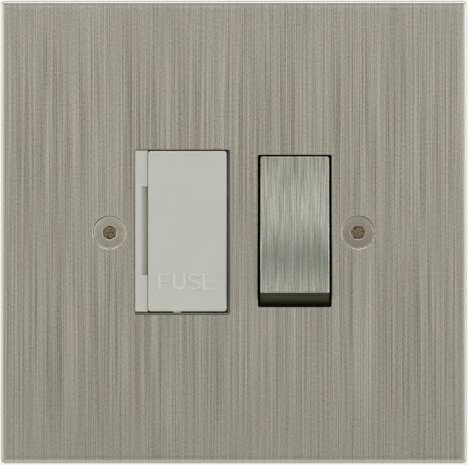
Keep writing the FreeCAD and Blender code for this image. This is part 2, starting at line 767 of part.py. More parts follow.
LIPS = ((WELL_LEFT, "rocker_centre_x - rocker_half_width + well_lip_overlap"),
        ("rocker_centre_x + rocker_half_width - well_lip_overlap", WELL_RIGHT))
for index, (low_x, high_x) in enumerate(LIPS):
    feature(switch_frame, "well_lip_%d" % index, "Y", "split_depth - well_lip_thickness", "split_depth",
            [rectangle(low_x, high_x, "rocker_centre_z - well_half_length",
                       "rocker_centre_z + well_half_length")])
feature(switch_frame, "bearing_holes", "X", SWITCH_LEFT, "case_half_width",
        circles=[("pivot_depth", "rocker_centre_z", "trunnion_radius + trunnion_gap")], cut=True)
STOP_FACE = ("pivot_depth - rocker_skirt_reach * cos(rocker_tilt * 1 deg)"
             " + rocker_skirt_length * sin(rocker_tilt * 1 deg) + stop_gap")
for index, (low_z, high_z) in enumerate(mirrored("well_half_length - stop_height", "well_half_length")):
    feature(switch_frame, "stop_%d" % index, "Y", STOP_FACE, STOP_FACE + " + stop_thickness",
            [rectangle(WELL_LEFT, WELL_RIGHT, "rocker_centre_z + " + low_z, "rocker_centre_z + " + high_z)])
for index, (low_z, high_z) in enumerate(mirrored("case_half_height - case_wall", "case_half_height")):
    feature(switch_frame, "snap_window_%d" % index, "Z", low_z, high_z,
            [rectangle("rocker_centre_x - tongue_half_width - snap_window_gap",
                       "rocker_centre_x + tongue_half_width + snap_window_gap",
                       "tongue_front - snap_window_gap",
                       "tongue_front + tongue_nose_length + snap_window_gap")], cut=True)

# rear housing: tray, terminal pockets, wire notches, pedestals, bosses and tongues

housing = new_body("rear_housing")
TERMINALS = {
    "terminal_supply_live": (LIVE_X, 1),
    "terminal_supply_neutral": (NEUTRAL_X, 1),
    "terminal_earth": ("fuse_stud_x", 1),
    "terminal_load_live": ("fuse_x", -1),
    "terminal_load_neutral": (NEUTRAL_X, -1),
}


def ordered(side, low, high):
    """Return a range above the middle, or its mirror image below it."""
    return (low, high) if side > 0 else ("-(%s)" % high, "-(%s)" % low)


feature(housing, "floor", "Y", "floor_face", "case_depth",
        [rectangle("-case_half_width", "case_half_width", "-case_half_height", "case_half_height")])
feature(housing, "walls", "Y", "split_depth", "floor_face",
        [rectangle("-case_half_width", "case_half_width", "-case_half_height", "case_half_height"),
         rectangle("case_wall - case_half_width", "case_half_width - case_wall",
                   "case_wall - case_half_height", "case_half_height - case_wall")])
soften(housing, "housing_corners", "case_corner", on_case_corner)
soften(housing, "housing_rim", "case_rim_bevel",
       lambda box: flat_at(box, "Y", number("case_depth")), bevel=True)
# the neutral blocks stand beside the outer wall, which takes the place of their right rib
for name, (centre_x, side) in TERMINALS.items():
    low_z, high_z = ordered(side, "block_low", "case_half_height - case_wall")
    feature(housing, name + "_seat", "Y", "block_back", "floor_face",
            [rectangle(centre_x + " - block_half_width", centre_x + " + block_half_width", low_z, high_z)])
    feature(housing, name + "_left_rib", "Y", "block_front", "floor_face",
            [rectangle(centre_x + " - block_half_width - block_rib_gap - block_rib_thickness",
                       centre_x + " - block_half_width - block_rib_gap", low_z, high_z)])
    if centre_x != NEUTRAL_X:
        feature(housing, name + "_right_rib", "Y", "block_front", "floor_face",
                [rectangle(centre_x + " + block_half_width + block_rib_gap",
                           centre_x + " + block_half_width + block_rib_gap + block_rib_thickness",
                           low_z, high_z)])
    wall_low, wall_high = ordered(side, "case_half_height - case_wall", "case_half_height")
    feature(housing, name + "_notch", "Z", wall_low, wall_high,
            [[(centre_x + " - wire_notch_half_width", "split_depth", None),
              (centre_x + " + wire_notch_half_width", "split_depth", None),
              (centre_x + " + wire_notch_half_width", "wire_bore_depth", None),
              (centre_x, "wire_bore_depth + wire_notch_half_width", "wire_notch_half_width"),
              (centre_x + " - wire_notch_half_width", "wire_bore_depth", "wire_notch_half_width")]], cut=True)
feature(housing, "clamp_holes", "Y", "block_back", "case_depth",
        circles=[(centre_x, "clamp_z" if side > 0 else "-clamp_z", "clamp_hole_radius")
                 for centre_x, side in TERMINALS.values()], cut=True)
for index, (low_z, high_z) in enumerate(mirrored("pedestal_low", "pedestal_high")):
    feature(housing, "clip_pedestal_%d" % index, "Y", "clip_seat", "floor_face",
            [rectangle("fuse_x - pedestal_half_width", "fuse_x + pedestal_half_width", low_z, high_z)])
for name, centre_x in (("live", LIVE_X), ("neutral", NEUTRAL_X)):
    feature(housing, name + "_strip_seat", "Y", "fixed_strip_face + link_thickness", "floor_face",
            [rectangle(centre_x + " - contact_half_width", centre_x + " + contact_half_width",
                       "rocker_centre_z + tip_reach - tip_radius", "rocker_centre_z + tip_reach + tip_radius")])
for index, (boss_x, boss_z) in enumerate(CASE_SCREWS):
    feature(housing, "rear_boss_%d" % index, "Y", "split_depth", "floor_face",
            circles=[(boss_x, boss_z, "case_boss_radius")])
feature(housing, "screw_passages", "Y", "split_depth", "case_depth",
        circles=[(x, z, "case_screw_pass_radius") for x, z in CASE_SCREWS], cut=True)
feature(housing, "screw_heads", "Y", "case_depth - case_screw_head_depth", "case_depth",
        circles=[(x, z, "case_screw_head_radius + case_screw_head_gap") for x, z in CASE_SCREWS], cut=True)
for index, side in enumerate((1, -1)):
    root = ordered(side, "case_half_height - case_wall - tongue_gap - tongue_thickness",
                   "case_half_height - case_wall")
    blade = ordered(side, "case_half_height - case_wall - tongue_gap - tongue_thickness",
                    "case_half_height - case_wall - tongue_gap")
    nose = ordered(side, "case_half_height - case_wall - tongue_gap - tongue_thickness",
                   "case_half_height - case_wall - tongue_gap + tongue_nose")
    span = ("rocker_centre_x - tongue_half_width", "rocker_centre_x + tongue_half_width")
    feature(housing, "tongue_root_%d" % index, "Y", "split_depth", "split_depth + tongue_root_length",
            [rectangle(span[0], span[1], root[0], root[1])])
    feature(housing, "tongue_blade_%d" % index, "Y", "tongue_front", "split_depth",
            [rectangle(span[0], span[1], blade[0], blade[1])])
    feature(housing, "tongue_nose_%d" % index, "Y", "tongue_front", "tongue_front + tongue_nose_length",
            [rectangle(span[0], span[1], nose[0], nose[1])])

# screws that hold the rear housing on the fuse frame


def headed_screw(name, x, z, radius, head_radius, tip, head_front, head_back):
    """Return a screw along Y with a slotted cylinder head at its rear end."""
    shank = rod(name + "_shank", "Y", radius, x, tip, z, "(%s) - (%s)" % (head_front, tip))
    head = rod(name + "_head", "Y", head_radius, x, head_front, z, "(%s) - (%s)" % (head_back, head_front))
    slot = block(name + "_slot", (x + " - screw_slot_half_width", x + " + screw_slot_half_width"),
                 ("(%s) - screw_slot_depth" % head_back, head_back),
                 (z + " - " + head_radius, z + " + " + head_radius))
    return cut(name, fuse(name + "_blank", [shank, head]), slot)


group("housing_screws", [
    headed_screw("case_screw_%d" % index, x, z, "case_screw_radius", "case_screw_head_radius",
                 "case_screw_tip", "case_depth - case_screw_head_depth", "case_depth")
    for index, (x, z) in enumerate(CASE_SCREWS)])

# terminals, their clamp screws and the earth strap


def terminal_block(name, centre_x, side):
    """Return one brass terminal block with a blind wire bore and a clamp hole."""
    low_z, high_z = ordered(side, "block_low", "block_high")
    body = block(name + "_brass", (centre_x + " - block_half_width", centre_x + " + block_half_width"),
                 ("block_front", "block_back"), (low_z, high_z))
    start_z = "wire_bore_end" if side > 0 else "-block_high"
    bore = rod(name + "_bore", "Z", "wire_bore_radius", centre_x, "wire_bore_depth", start_z,
               "block_high - wire_bore_end")
    hole = rod(name + "_clamp_hole", "Y", "clamp_radius + clamp_thread_gap", centre_x, "wire_bore_depth",
               "clamp_z" if side > 0 else "-clamp_z", "block_back - wire_bore_depth")
    return keep(name, cut(name, body, fuse(name + "_holes", [bore, hole])))


for name, (centre_x, side) in TERMINALS.items():
    terminal_block(name, centre_x, side)
group("terminal_screws", [
    headed_screw("clamp_%d" % index, centre_x, "clamp_z" if side > 0 else "-clamp_z", "clamp_radius",
                 "clamp_head_radius", "clamp_tip", "clamp_head_front", "clamp_head_back")
    for index, (centre_x, side) in enumerate(TERMINALS.values())])

strap_span = ("fuse_stud_x - earth_strap_half_width", "fuse_stud_x + earth_strap_half_width")
strap_flat = block("earth_flat", strap_span, ("flange_rear", "flange_rear + strap_thickness"),
                   ("earth_leg_z", "earth_strap_top"))
strap_leg = block("earth_leg", strap_span, ("flange_rear", "block_front"),
                  ("earth_leg_z", "earth_leg_z + strap_thickness"))
keep("earth_strap", cut("earth_strap", fuse("earth_strap_blank", [strap_flat, strap_leg]),
                        rod("earth_hole", "Y", "stud_hole_radius", "fuse_stud_x", "flange_rear", "stud_height",
                            "strap_thickness")))

# fuse drawer: cover, rails with hooks, saddle round the fuse and end ribs

drawer = new_body("fuse_drawer")
feature(drawer, "cover", "Y", "cover_face", "cover_rear",
        [rounded("cover_left", "cover_right", "cover_foot", "cover_top", "cover_corner")])
soften(drawer, "cover_rounding", "cover_edge", lambda box: flat_at(box, "Y", number("cover_face")))
feature(drawer, "nib", "Y", "cover_rear - nib_thickness", "cover_rear",
        [rectangle("nib_left", "nib_right", "cover_foot - nib_drop", "cover_foot + nib_thickness")])
for name, low_x, high_x in (("left", "rail_left", "rail_left + rail_thickness"),
                            ("right", "rail_right - rail_thickness", "rail_right")):
    feature(drawer, name + "_rail", "Y", "cover_rear", "rail_end",
            [rectangle(low_x, high_x, "-rail_half_height", "rail_half_height")])
for index, (low_z, high_z) in enumerate(mirrored("hook_low", "hook_high")):
    feature(drawer, "left_hook_%d" % index, "Y", "rail_end - hook_thickness", "rail_end",
            [rectangle("rail_left - hook_out", "rail_left", low_z, high_z)])
# the right hook runs along the whole rail and screens the live strip behind the gap beside the cover
feature(drawer, "right_hook", "Y", "rail_end - hook_thickness", "rail_end",
        [rectangle("rail_right", "rail_right + hook_out", "-(hook_high)", "hook_high")])
feature(drawer, "saddle", "Y", "cover_rear", "fuse_depth + saddle_back",
        [rectangle("fuse_x - saddle_half_width", "fuse_x + saddle_half_width",
                   "-saddle_half_height", "saddle_half_height")])
feature(drawer, "saddle_bore", "Z", "-saddle_half_height", "saddle_half_height",
        circles=[("fuse_x", "fuse_depth", "fuse_barrel_radius + saddle_gap")], cut=True)
for index, (low_z, high_z) in enumerate(mirrored("fuse_half_length + end_rib_gap",
                                                 "fuse_half_length + end_rib_gap + end_rib_thickness")):
    feature(drawer, "end_rib_%d" % index, "Y", "cover_rear", "fuse_depth",
            [rectangle("fuse_x - strap_half_width", "fuse_x + strap_half_width", low_z, high_z)])

# fuse link: ceramic tube, two end caps and the wire inside

CAP_START = "fuse_half_length - fuse_cap_length"
keep("fuse_barrel", cut("fuse_barrel",
                        rod("barrel_outside", "Z", "fuse_barrel_radius", "fuse_x", "fuse_depth",
                            "cap_wall - fuse_half_length", "2 * (fuse_half_length - cap_wall)"),
                        rod("barrel_inside", "Z", "fuse_bore_radius", "fuse_x", "fuse_depth",
                            "cap_wall - fuse_half_length", "2 * (fuse_half_length - cap_wall)")))
for name, start, inside in (("fuse_cap_upper", CAP_START, CAP_START),
                            ("fuse_cap_lower", "-fuse_half_length", "cap_wall - fuse_half_length")):
    keep(name, cut(name,
                   rod(name + "_shell", "Z", "fuse_cap_radius", "fuse_x", "fuse_depth", start,
                       "fuse_cap_length"),
                   rod(name + "_hollow", "Z", "fuse_barrel_radius", "fuse_x", "fuse_depth", inside,
                       "fuse_cap_length - cap_wall")))
keep("fuse_element", rod("fuse_element", "Z", "fuse_element_radius", "fuse_x", "fuse_depth",
                         "cap_wall - fuse_half_length", "2 * (fuse_half_length - cap_wall)"))

# fuse clips: flat jaws with flared mouths, and the strips that carry the current on

JAWS = [
    ("fuse_x - clip_outer", "clip_seat", None),
    ("fuse_x + clip_outer", "clip_seat", None),
    ("fuse_x + clip_outer", "clip_mouth_depth", None),
    ("fuse_x + clip_outer + clip_flare", "clip_mouth_depth - 2 * clip_flare", None),
    ("fuse_x + clip_inner + clip_flare", "clip_mouth_depth - 2 * clip_flare", None),
    ("fuse_x + clip_inner", "clip_mouth_depth", None),
    ("fuse_x + clip_inner", "clip_base_depth", None),
    ("fuse_x - clip_inner", "clip_base_depth", None),
    ("fuse_x - clip_inner", "clip_mouth_depth", None),
    ("fuse_x - clip_inner - clip_flare", "clip_mouth_depth - 2 * clip_flare", None),
    ("fuse_x - clip_outer - clip_flare", "clip_mouth_depth - 2 * clip_flare", None),
    ("fuse_x - clip_outer", "clip_mouth_depth", None),
]
TAIL = ("fuse_x - strap_half_width", "fuse_x + strap_half_width")

upper_clip = new_body("fuse_clip_upper")
feature(upper_clip, "upper_jaws", "Z", "clip_low", "clip_high", [JAWS])
feature(upper_clip, "upper_tail", "X", TAIL[0], TAIL[1],
        [[("clip_base_depth", "clip_low + strap_thickness", None),
          ("clip_base_depth", "pedestal_low - strap_thickness", None),
          ("link_face", "pedestal_low - strap_thickness", None), ("link_face", "pedestal_low", None),
          ("clip_seat", "pedestal_low", None), ("clip_seat", "clip_low + strap_thickness", None)]])

lower_clip = new_body("fuse_clip_lower")
feature(lower_clip, "lower_jaws", "Z", "-clip_high", "-clip_low", [JAWS])
TAIL_DEPTH = "(wire_bore_depth - strap_thickness)"
feature(lower_clip, "lower_tail", "X", TAIL[0], TAIL[1],
        [[("clip_base_depth", "strap_thickness - clip_high", None),
          ("clip_base_depth", "-pedestal_high - strap_thickness", None),
          (TAIL_DEPTH, "-pedestal_high - strap_thickness", None),
          (TAIL_DEPTH, "-block_low", None),
          (TAIL_DEPTH + " + strap_thickness", "-block_low", None),
          (TAIL_DEPTH + " + strap_thickness", "-pedestal_high", None),
          ("clip_seat", "-pedestal_high", None),
          ("clip_seat", "strap_thickness - clip_high", None)]])

live_link = new_body("live_link")
feature(live_link, "live_strip", "Y", "link_face", "floor_face",
        [[(TAIL[0], "rocker_centre_z - strap_half_width", None),
          (LIVE_X + " + contact_half_width", "rocker_centre_z - strap_half_width", None),
          (LIVE_X + " + contact_half_width", "rocker_centre_z + strap_half_width", None),
          (TAIL[1], "rocker_centre_z + strap_half_width", None),
          (TAIL[1], "pedestal_low", None),
          (TAIL[0], "pedestal_low", None)]])

neutral_link = new_body("neutral_link")
feature(neutral_link, "neutral_strip", "X",
        NEUTRAL_X + " - strap_half_width", NEUTRAL_X + " + strap_half_width",
        [[("link_face", "rocker_centre_z + strap_half_width", None),
          ("link_face", "link_thickness - block_low", None),
          ("block_front + link_end_inset", "link_thickness - block_low", None),
          ("block_front + link_end_inset", "-block_low", None),
          ("floor_face", "-block_low", None),
          ("floor_face", "rocker_centre_z + strap_half_width", None)]])

# switch: fulcrums, fixed contacts, see-saw contacts and their silver tips

for name, centre_x in (("live", LIVE_X), ("neutral", NEUTRAL_X)):
    support = block(name + "_support",
                    (centre_x + " - contact_half_width", centre_x + " + contact_half_width"),
                    ("contact_axis_depth", "link_face"),
                    ("rocker_centre_z - fulcrum_half_height", "rocker_centre_z + fulcrum_half_height"))
    groove = rod(name + "_groove", "X", "contact_hub_radius + contact_hub_gap",
                 centre_x + " - contact_half_width", "contact_axis_depth", "rocker_centre_z",
                 "2 * contact_half_width")
    keep("fulcrum_" + name, cut("fulcrum_" + name, support, groove))

    keep("fixed_contact_" + name, block(
        "fixed_contact_" + name,
        (centre_x + " - contact_half_width", centre_x + " + contact_half_width"),
        ("fixed_strip_face", "fixed_strip_face + link_thickness"),
        ("rocker_centre_z + fixed_strip_low", "block_low")))

    arm = new_body("moving_contact_" + name)
    feature(arm, name + "_blade", "X", "-contact_half_width", "contact_half_width",
            [rectangle("-contact_rise", "contact_thickness - contact_rise", "-contact_half_length",
                       "contact_half_length")])
    feature(arm, name + "_hub", "X", "-contact_half_width", "contact_half_width",
            circles=[("0", "0", "contact_hub_radius")])
    hang_on_fulcrum(arm, centre_x)

    tip = new_body("moving_tip_" + name)
    feature(tip, name + "_tip", "Y", "contact_thickness - contact_rise",
            "contact_thickness - contact_rise + tip_thickness", circles=[("0", "tip_reach", "tip_radius")])
    hang_on_fulcrum(tip, centre_x)

group("fixed_tips", [rod(name + "_fixed_tip", "Y", "tip_radius", centre_x, "fixed_tip_face",
                         "rocker_centre_z + tip_reach", "fixed_strip_face - fixed_tip_face")
                     for name, centre_x in (("live", LIVE_X), ("neutral", NEUTRAL_X))])

# rocker: brushed metal cap on a dark body with cheeks, trunnions and two hollow posts

HOLLOW_END = "-(rocker_reach - cap_thickness)"

rocker = new_body("rocker_body")
feature(rocker, "rocker_block", "X", "-rocker_half_width", "rocker_half_width",
        [[(HOLLOW_END, "-rocker_half_length", None),
          (HOLLOW_END, "rocker_half_length", "rocker_hollow_radius + cap_thickness"),
          ("-rocker_waist_reach", "rocker_waist_length", None),
          ("-rocker_skirt_reach", "rocker_skirt_length", "-rocker_skirt_bulge"),
          ("-cheek_reach", "cheek_half_length", None),
          ("cheek_radius", "cheek_radius", None),
          ("cheek_radius", "-cheek_radius", None),
          ("-cheek_reach", "-cheek_half_length", None),
          ("-rocker_skirt_reach", "-rocker_skirt_length", None),
          ("-rocker_waist_reach", "-rocker_waist_length", "-rocker_skirt_bulge")]])
feature(rocker, "rocker_inside", "Y", "rocker_crown_depth - rocker_reach", "cheek_radius",
        [rectangle("rocker_wall - rocker_half_width", "rocker_half_width - rocker_wall",
                   "rocker_wall - rocker_waist_length", "rocker_waist_length - rocker_wall")], cut=True)
for name, centre in (("live", "-pole_offset"), ("neutral", "pole_offset")):
    feature(rocker, name + "_post", "Y", "post_root_depth - rocker_reach", "post_end",
            circles=[(centre, "0", "post_radius")])
feature(rocker, "post_bores", "Y", "post_bore_end", "post_end",
        circles=[("-pole_offset", "0", "plunger_radius + plunger_gap"),
                 ("pole_offset", "0", "plunger_radius + plunger_gap")], cut=True)
for index, (low_x, high_x) in enumerate(mirrored("rocker_half_width", "rocker_half_width + trunnion_length")):
    feature(rocker, "trunnion_%d" % index, "X", low_x, high_x, circles=[("0", "0", "trunnion_radius")])
hang_on_pivot(rocker)

cap = new_body("rocker_cap")
feature(cap, "cap_sheet", "X", "-rocker_half_width", "rocker_half_width",
        [[("-rocker_reach", "-rocker_half_length", None),
          ("-rocker_reach", "rocker_half_length", "rocker_hollow_radius"),
          (HOLLOW_END, "rocker_half_length", None),
          (HOLLOW_END, "-rocker_half_length", "-(rocker_hollow_radius + cap_thickness)")]])
soften(cap, "cap_corners", "rocker_corner",
       lambda box: box.YLength > number("cap_thickness") / 2 and runs_along_depth(box))
hang_on_pivot(cap)

# plungers and their springs, made in the frame of the rocker

for name, centre in (("live", "-pole_offset"), ("neutral", "pole_offset")):
    plunger = new_body("plunger_" + name)
    feature(plunger, name + "_pin", "Y", "plunger_tip - plunger_length", "plunger_tip - plunger_radius",
            circles=[(centre, "0", "plunger_radius")])
    dome = plunger.newObject("PartDesign::AdditiveSphere", name + "_nose")
    dome.setExpression("Radius", formula("plunger_radius"))
    dome.setExpression("AttachmentOffset.Base.x", formula(centre))
    dome.setExpression("AttachmentOffset.Base.y", formula("plunger_tip - plunger_radius"))
    plane = [item for item in plunger.Origin.OriginFeatures if item.Role == "XY_Plane"][0]
    dome.AttachmentSupport = (plane, [""])
    dome.MapMode = "FlatFace"
    doc.recompute()
    hang_on_pivot(plunger)

    length = number("plunger_tip - plunger_length - post_bore_end - 2 * spring_wire_radius")
    coil_line = Part.makeHelix(length / number("spring_turns"), length, number("spring_radius"))
    wire_start = coil_line.Edges[0].valueAt(coil_line.Edges[0].FirstParameter)
    wire_way = coil_line.Edges[0].tangentAt(coil_line.Edges[0].FirstParameter)
    ring = Part.Wire([Part.makeCircle(number("spring_wire_radius"), wire_start, wire_way)])
    coil = Part.Wire(coil_line).makePipeShell([ring], True, True)
    wound = doc.addObject("Part::Feature", name + "_coil")
    wound.Shape = coil
    wound.Placement = FreeCAD.Placement(FreeCAD.Vector(), TURN_TO_AXIS["Y"])
    place(wound, centre, "post_bore_end + spring_wire_radius", "0")
    spring = doc.addObject("Part::Compound", "spring_" + name)
    spring.Links = [wound]
    keep("spring_" + name, spring)
    hang_on_pivot(spring)

doc.recompute()

problems = [item.Name for item in doc.Objects if "Invalid" in item.State or "Error" in item.State]
if problems:
    raise RuntimeError("features with errors: " + ", ".join(problems))
os.makedirs("parts", exist_ok=True)
for name, item in nodes.items():
    shape = item.Shape
    if shape.isNull() or not shape.isValid() or not shape.Solids:
        raise RuntimeError("piece is not sound: " + name)
    shape.exportStep("parts/%s.step" % name)
    bounds = shape.BoundBox
    print("%-24s %2d solids %9.1f mm3  X %.2f %.2f  Y %.2f %.2f  Z %.2f %.2f" % (
        name, len(shape.Solids), shape.Volume, bounds.XMin, bounds.XMax,
        bounds.YMin, bounds.YMax, bounds.ZMin, bounds.ZMax))
print("%d pieces written" % len(nodes))
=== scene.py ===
"""Finish of the fused spur unit: brushed steel plate, white fuse drawer and steel rocker switch.

Lengths in the classes are millimetres and are turned into metres where a mesh is made.
X runs to the right, Z up, and the front of the unit looks toward -Y.
"""

import functools
import logging
import math
from dataclasses import dataclass, field
from enum import Enum
from typing import Callable, Iterable, Sequence

import bmesh
import bpy
from mathutils import Matrix, Vector
from mathutils.geometry import tessellate_polygon


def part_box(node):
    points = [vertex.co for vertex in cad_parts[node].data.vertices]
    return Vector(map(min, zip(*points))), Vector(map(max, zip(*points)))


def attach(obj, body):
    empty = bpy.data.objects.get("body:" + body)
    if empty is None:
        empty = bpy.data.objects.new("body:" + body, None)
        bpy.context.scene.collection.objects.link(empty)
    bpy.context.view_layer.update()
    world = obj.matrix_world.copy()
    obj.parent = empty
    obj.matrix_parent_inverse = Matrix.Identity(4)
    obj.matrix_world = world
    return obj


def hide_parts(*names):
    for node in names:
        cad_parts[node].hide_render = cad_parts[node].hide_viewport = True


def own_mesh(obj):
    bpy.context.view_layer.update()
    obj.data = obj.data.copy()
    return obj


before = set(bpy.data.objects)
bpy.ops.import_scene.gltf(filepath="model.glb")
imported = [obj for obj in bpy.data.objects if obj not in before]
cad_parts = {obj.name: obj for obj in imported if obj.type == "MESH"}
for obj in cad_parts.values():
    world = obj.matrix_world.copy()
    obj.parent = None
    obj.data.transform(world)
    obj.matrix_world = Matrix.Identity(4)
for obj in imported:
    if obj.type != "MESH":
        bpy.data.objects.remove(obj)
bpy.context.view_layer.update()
MM = 0.001
LOG = logging.getLogger("fused_spur")

Colour = tuple[float, float, float]
Point = tuple[float, float]
Point3 = tuple[float, float, float]
Socket = bpy.types.NodeSocket
Shape = bmesh.types.BMesh
CutIn = Callable[[int, float], float]

# Nearly all values of a noise lie in the wide range, and most of them in the narrow one.
WIDE: Point = (0.3, 0.7)
NARROW: Point = (0.35, 0.65)
# Shares of its radius by which a round edge is set in: in its middle, and at two thirds and a third.
MID_ARC = 0.3
ARC: Point = (0.13, 0.5)
# Corners keep this radius in mm when an outline moves in, and points as close as this are merged.
LEAST_RADIUS = 0.02
MERGED_WITHIN = 1e-5
# Edges below this angle in degrees are shaded smooth.
SMOOTH_BELOW = 32.0


class Streak(Enum):
    """How coarse the brushing of a steel surface is: width and length of its streaks in mm."""

    FINE = (0.28, 52.0)
    COARSE = (0.27, 12.0)


def linear(red: int, green: int, blue: int) -> Colour:
    """Turn a colour as seen on a screen into the linear values of a shader.

    Args:
        red: red part, 0 to 255.
        green: green part, 0 to 255.
        blue: blue part, 0 to 255.

    Returns:
        The linear colour.
    """
    parts = []
    for part in (red, green, blue):
        value = part / 255
        parts.append(value / 12.92 if value <= 0.04045 else ((value + 0.055) / 1.055) ** 2.4)
    return tuple(parts)


class NodeSheet:
    """A short way to write a node tree."""

    def __init__(self, tree: bpy.types.NodeTree) -> None:
        """Start on an empty tree."""
        self.tree = tree
        tree.nodes.clear()

    def add(self, kind: str, inputs: dict | None = None, **settings: object) -> bpy.types.Node:
        """Add a node.

        Args:
            kind: name of the node's type.
            inputs: values or sockets for its inputs, by name or number.
            settings: attributes of the node.

        Returns:
            The new node.
        """
        node = self.tree.nodes.new(kind)
        for name, value in settings.items():
            setattr(node, name, value)
        for key, value in (inputs or {}).items():
            if isinstance(value, Socket):
                self.tree.links.new(value, node.inputs[key])
            else:
                node.inputs[key].default_value = value
        return node

    def out(self, kind: str, inputs: dict | None = None, **settings: object) -> Socket:
        """Add a node and return its first output."""
        return self.add(kind, inputs, **settings).outputs[0]

    def place(self) -> bpy.types.NodeOutputs:
        """Return the object's own X, Y and Z."""
        coords = self.add("ShaderNodeTexCoord").outputs["Object"]
        return self.add("ShaderNodeSeparateXYZ", {0: coords}).outputs

    def maths(self, operation: str, first: object, second: object = 0.0) -> Socket:
        """Return the result of a sum on one or two values."""
        return self.out("ShaderNodeMath", {0: first, 1: second}, operation=operation)

    def product(self, *values: object) -> Socket:
        """Return the product of several values."""
        return functools.reduce(lambda first, second: self.maths("MULTIPLY", first, second), values)

    def weighted(self, *parts: tuple[object, float]) -> Socket:
        """Return the sum of several values, each times its weight."""
        terms = [self.product(*part) for part in parts]
        return functools.reduce(lambda first, second: self.maths("ADD", first, second), terms)

    def blend(self, share: object, low: object, high: object) -> Socket:
        """Return a colour between two colours, which are sockets or linear values."""
        ends = [end if isinstance(end, Socket) else (*end, 1) for end in (low, high)]
        node = self.add("ShaderNodeMix", {0: share, 6: ends[0], 7: ends[1]}, data_type="RGBA")
        return node.outputs[2]

    def spread(self, value: object, low: float, high: float, to_low: float = 0.0,
               to_high: float = 1.0) -> Socket:
        """Return a value stretched from one range to another."""
        return self.out("ShaderNodeMapRange", {0: value, 1: low, 2: high, 3: to_low, 4: to_high})

    def noise(self, per_mm: Sequence[float], detail: float = 2.0, shift: float = 0.0,
              waver: float = 0.0) -> Socket:
        """Return a noise on the object's own coordinates.

        Args:
            per_mm: noise cells per millimetre along X, Y and Z.
            detail: octaves of the noise.
            shift: offset that makes one noise differ from another.
            waver: how much the noise is pulled out of line.

        Returns:
            The noise value, about 0.5.
        """
        coords = self.add("ShaderNodeTexCoord").outputs["Object"]
        cells = self.out("ShaderNodeMapping", {0: coords, 1: (shift,) * 3,
                                               "Scale": [each / MM for each in per_mm]})
        return self.out("ShaderNodeTexNoise", {"Vector": cells, "Scale": 1.0, "Detail": detail,
                                               "Roughness": 0.55, "Distortion": waver})


@dataclass(frozen=True)
class Finish:
    """A surface finish: its name and colour, and how its roughness swings with its marks."""

    name: str
    colour: Colour
    roughness: float = 0.3
    swing: Point = (0.85, 1.15)
    edge_mm: float = 0.15

    def material(self) -> bpy.types.Material:
        """Return the finish as a material, made once."""
        known = bpy.data.materials.get(self.name)
        if known is not None:
            return known
        made = bpy.data.materials.new(self.name)
        made.use_nodes = True
        sheet = NodeSheet(made.node_tree)
        shader = sheet.add("ShaderNodeBsdfPrincipled", self.looks(sheet))
        sheet.add("ShaderNodeOutputMaterial", {0: shader.outputs[0]})
        return made

    def looks(self, sheet: NodeSheet) -> dict[str, object]:
        """Return the shader's inputs for this finish."""
        raise NotImplementedError

    def surface(self, sheet: NodeSheet, marks: Socket, relief: Socket, depth_mm: float) -> dict[str, object]:
        """Return the inputs that shape the surface.

        Args:
            sheet: the material's nodes.
            marks: noise that the roughness swings with.
            relief: height from 0 to 1.
            depth_mm: depth of the relief.

        Returns:
            The roughness, and a normal with the relief and slightly worn edges.
        """
        rough = sheet.spread(marks, *WIDE, *(self.roughness * share for share in self.swing))
        edges = sheet.out("ShaderNodeBevel", {"Radius": self.edge_mm * MM}, samples=4)
        raised = sheet.out("ShaderNodeBump", {"Strength": 1.0, "Distance": depth_mm * MM, "Height": relief,
                                              "Normal": edges})
        return {"Roughness": rough, "Normal": raised}


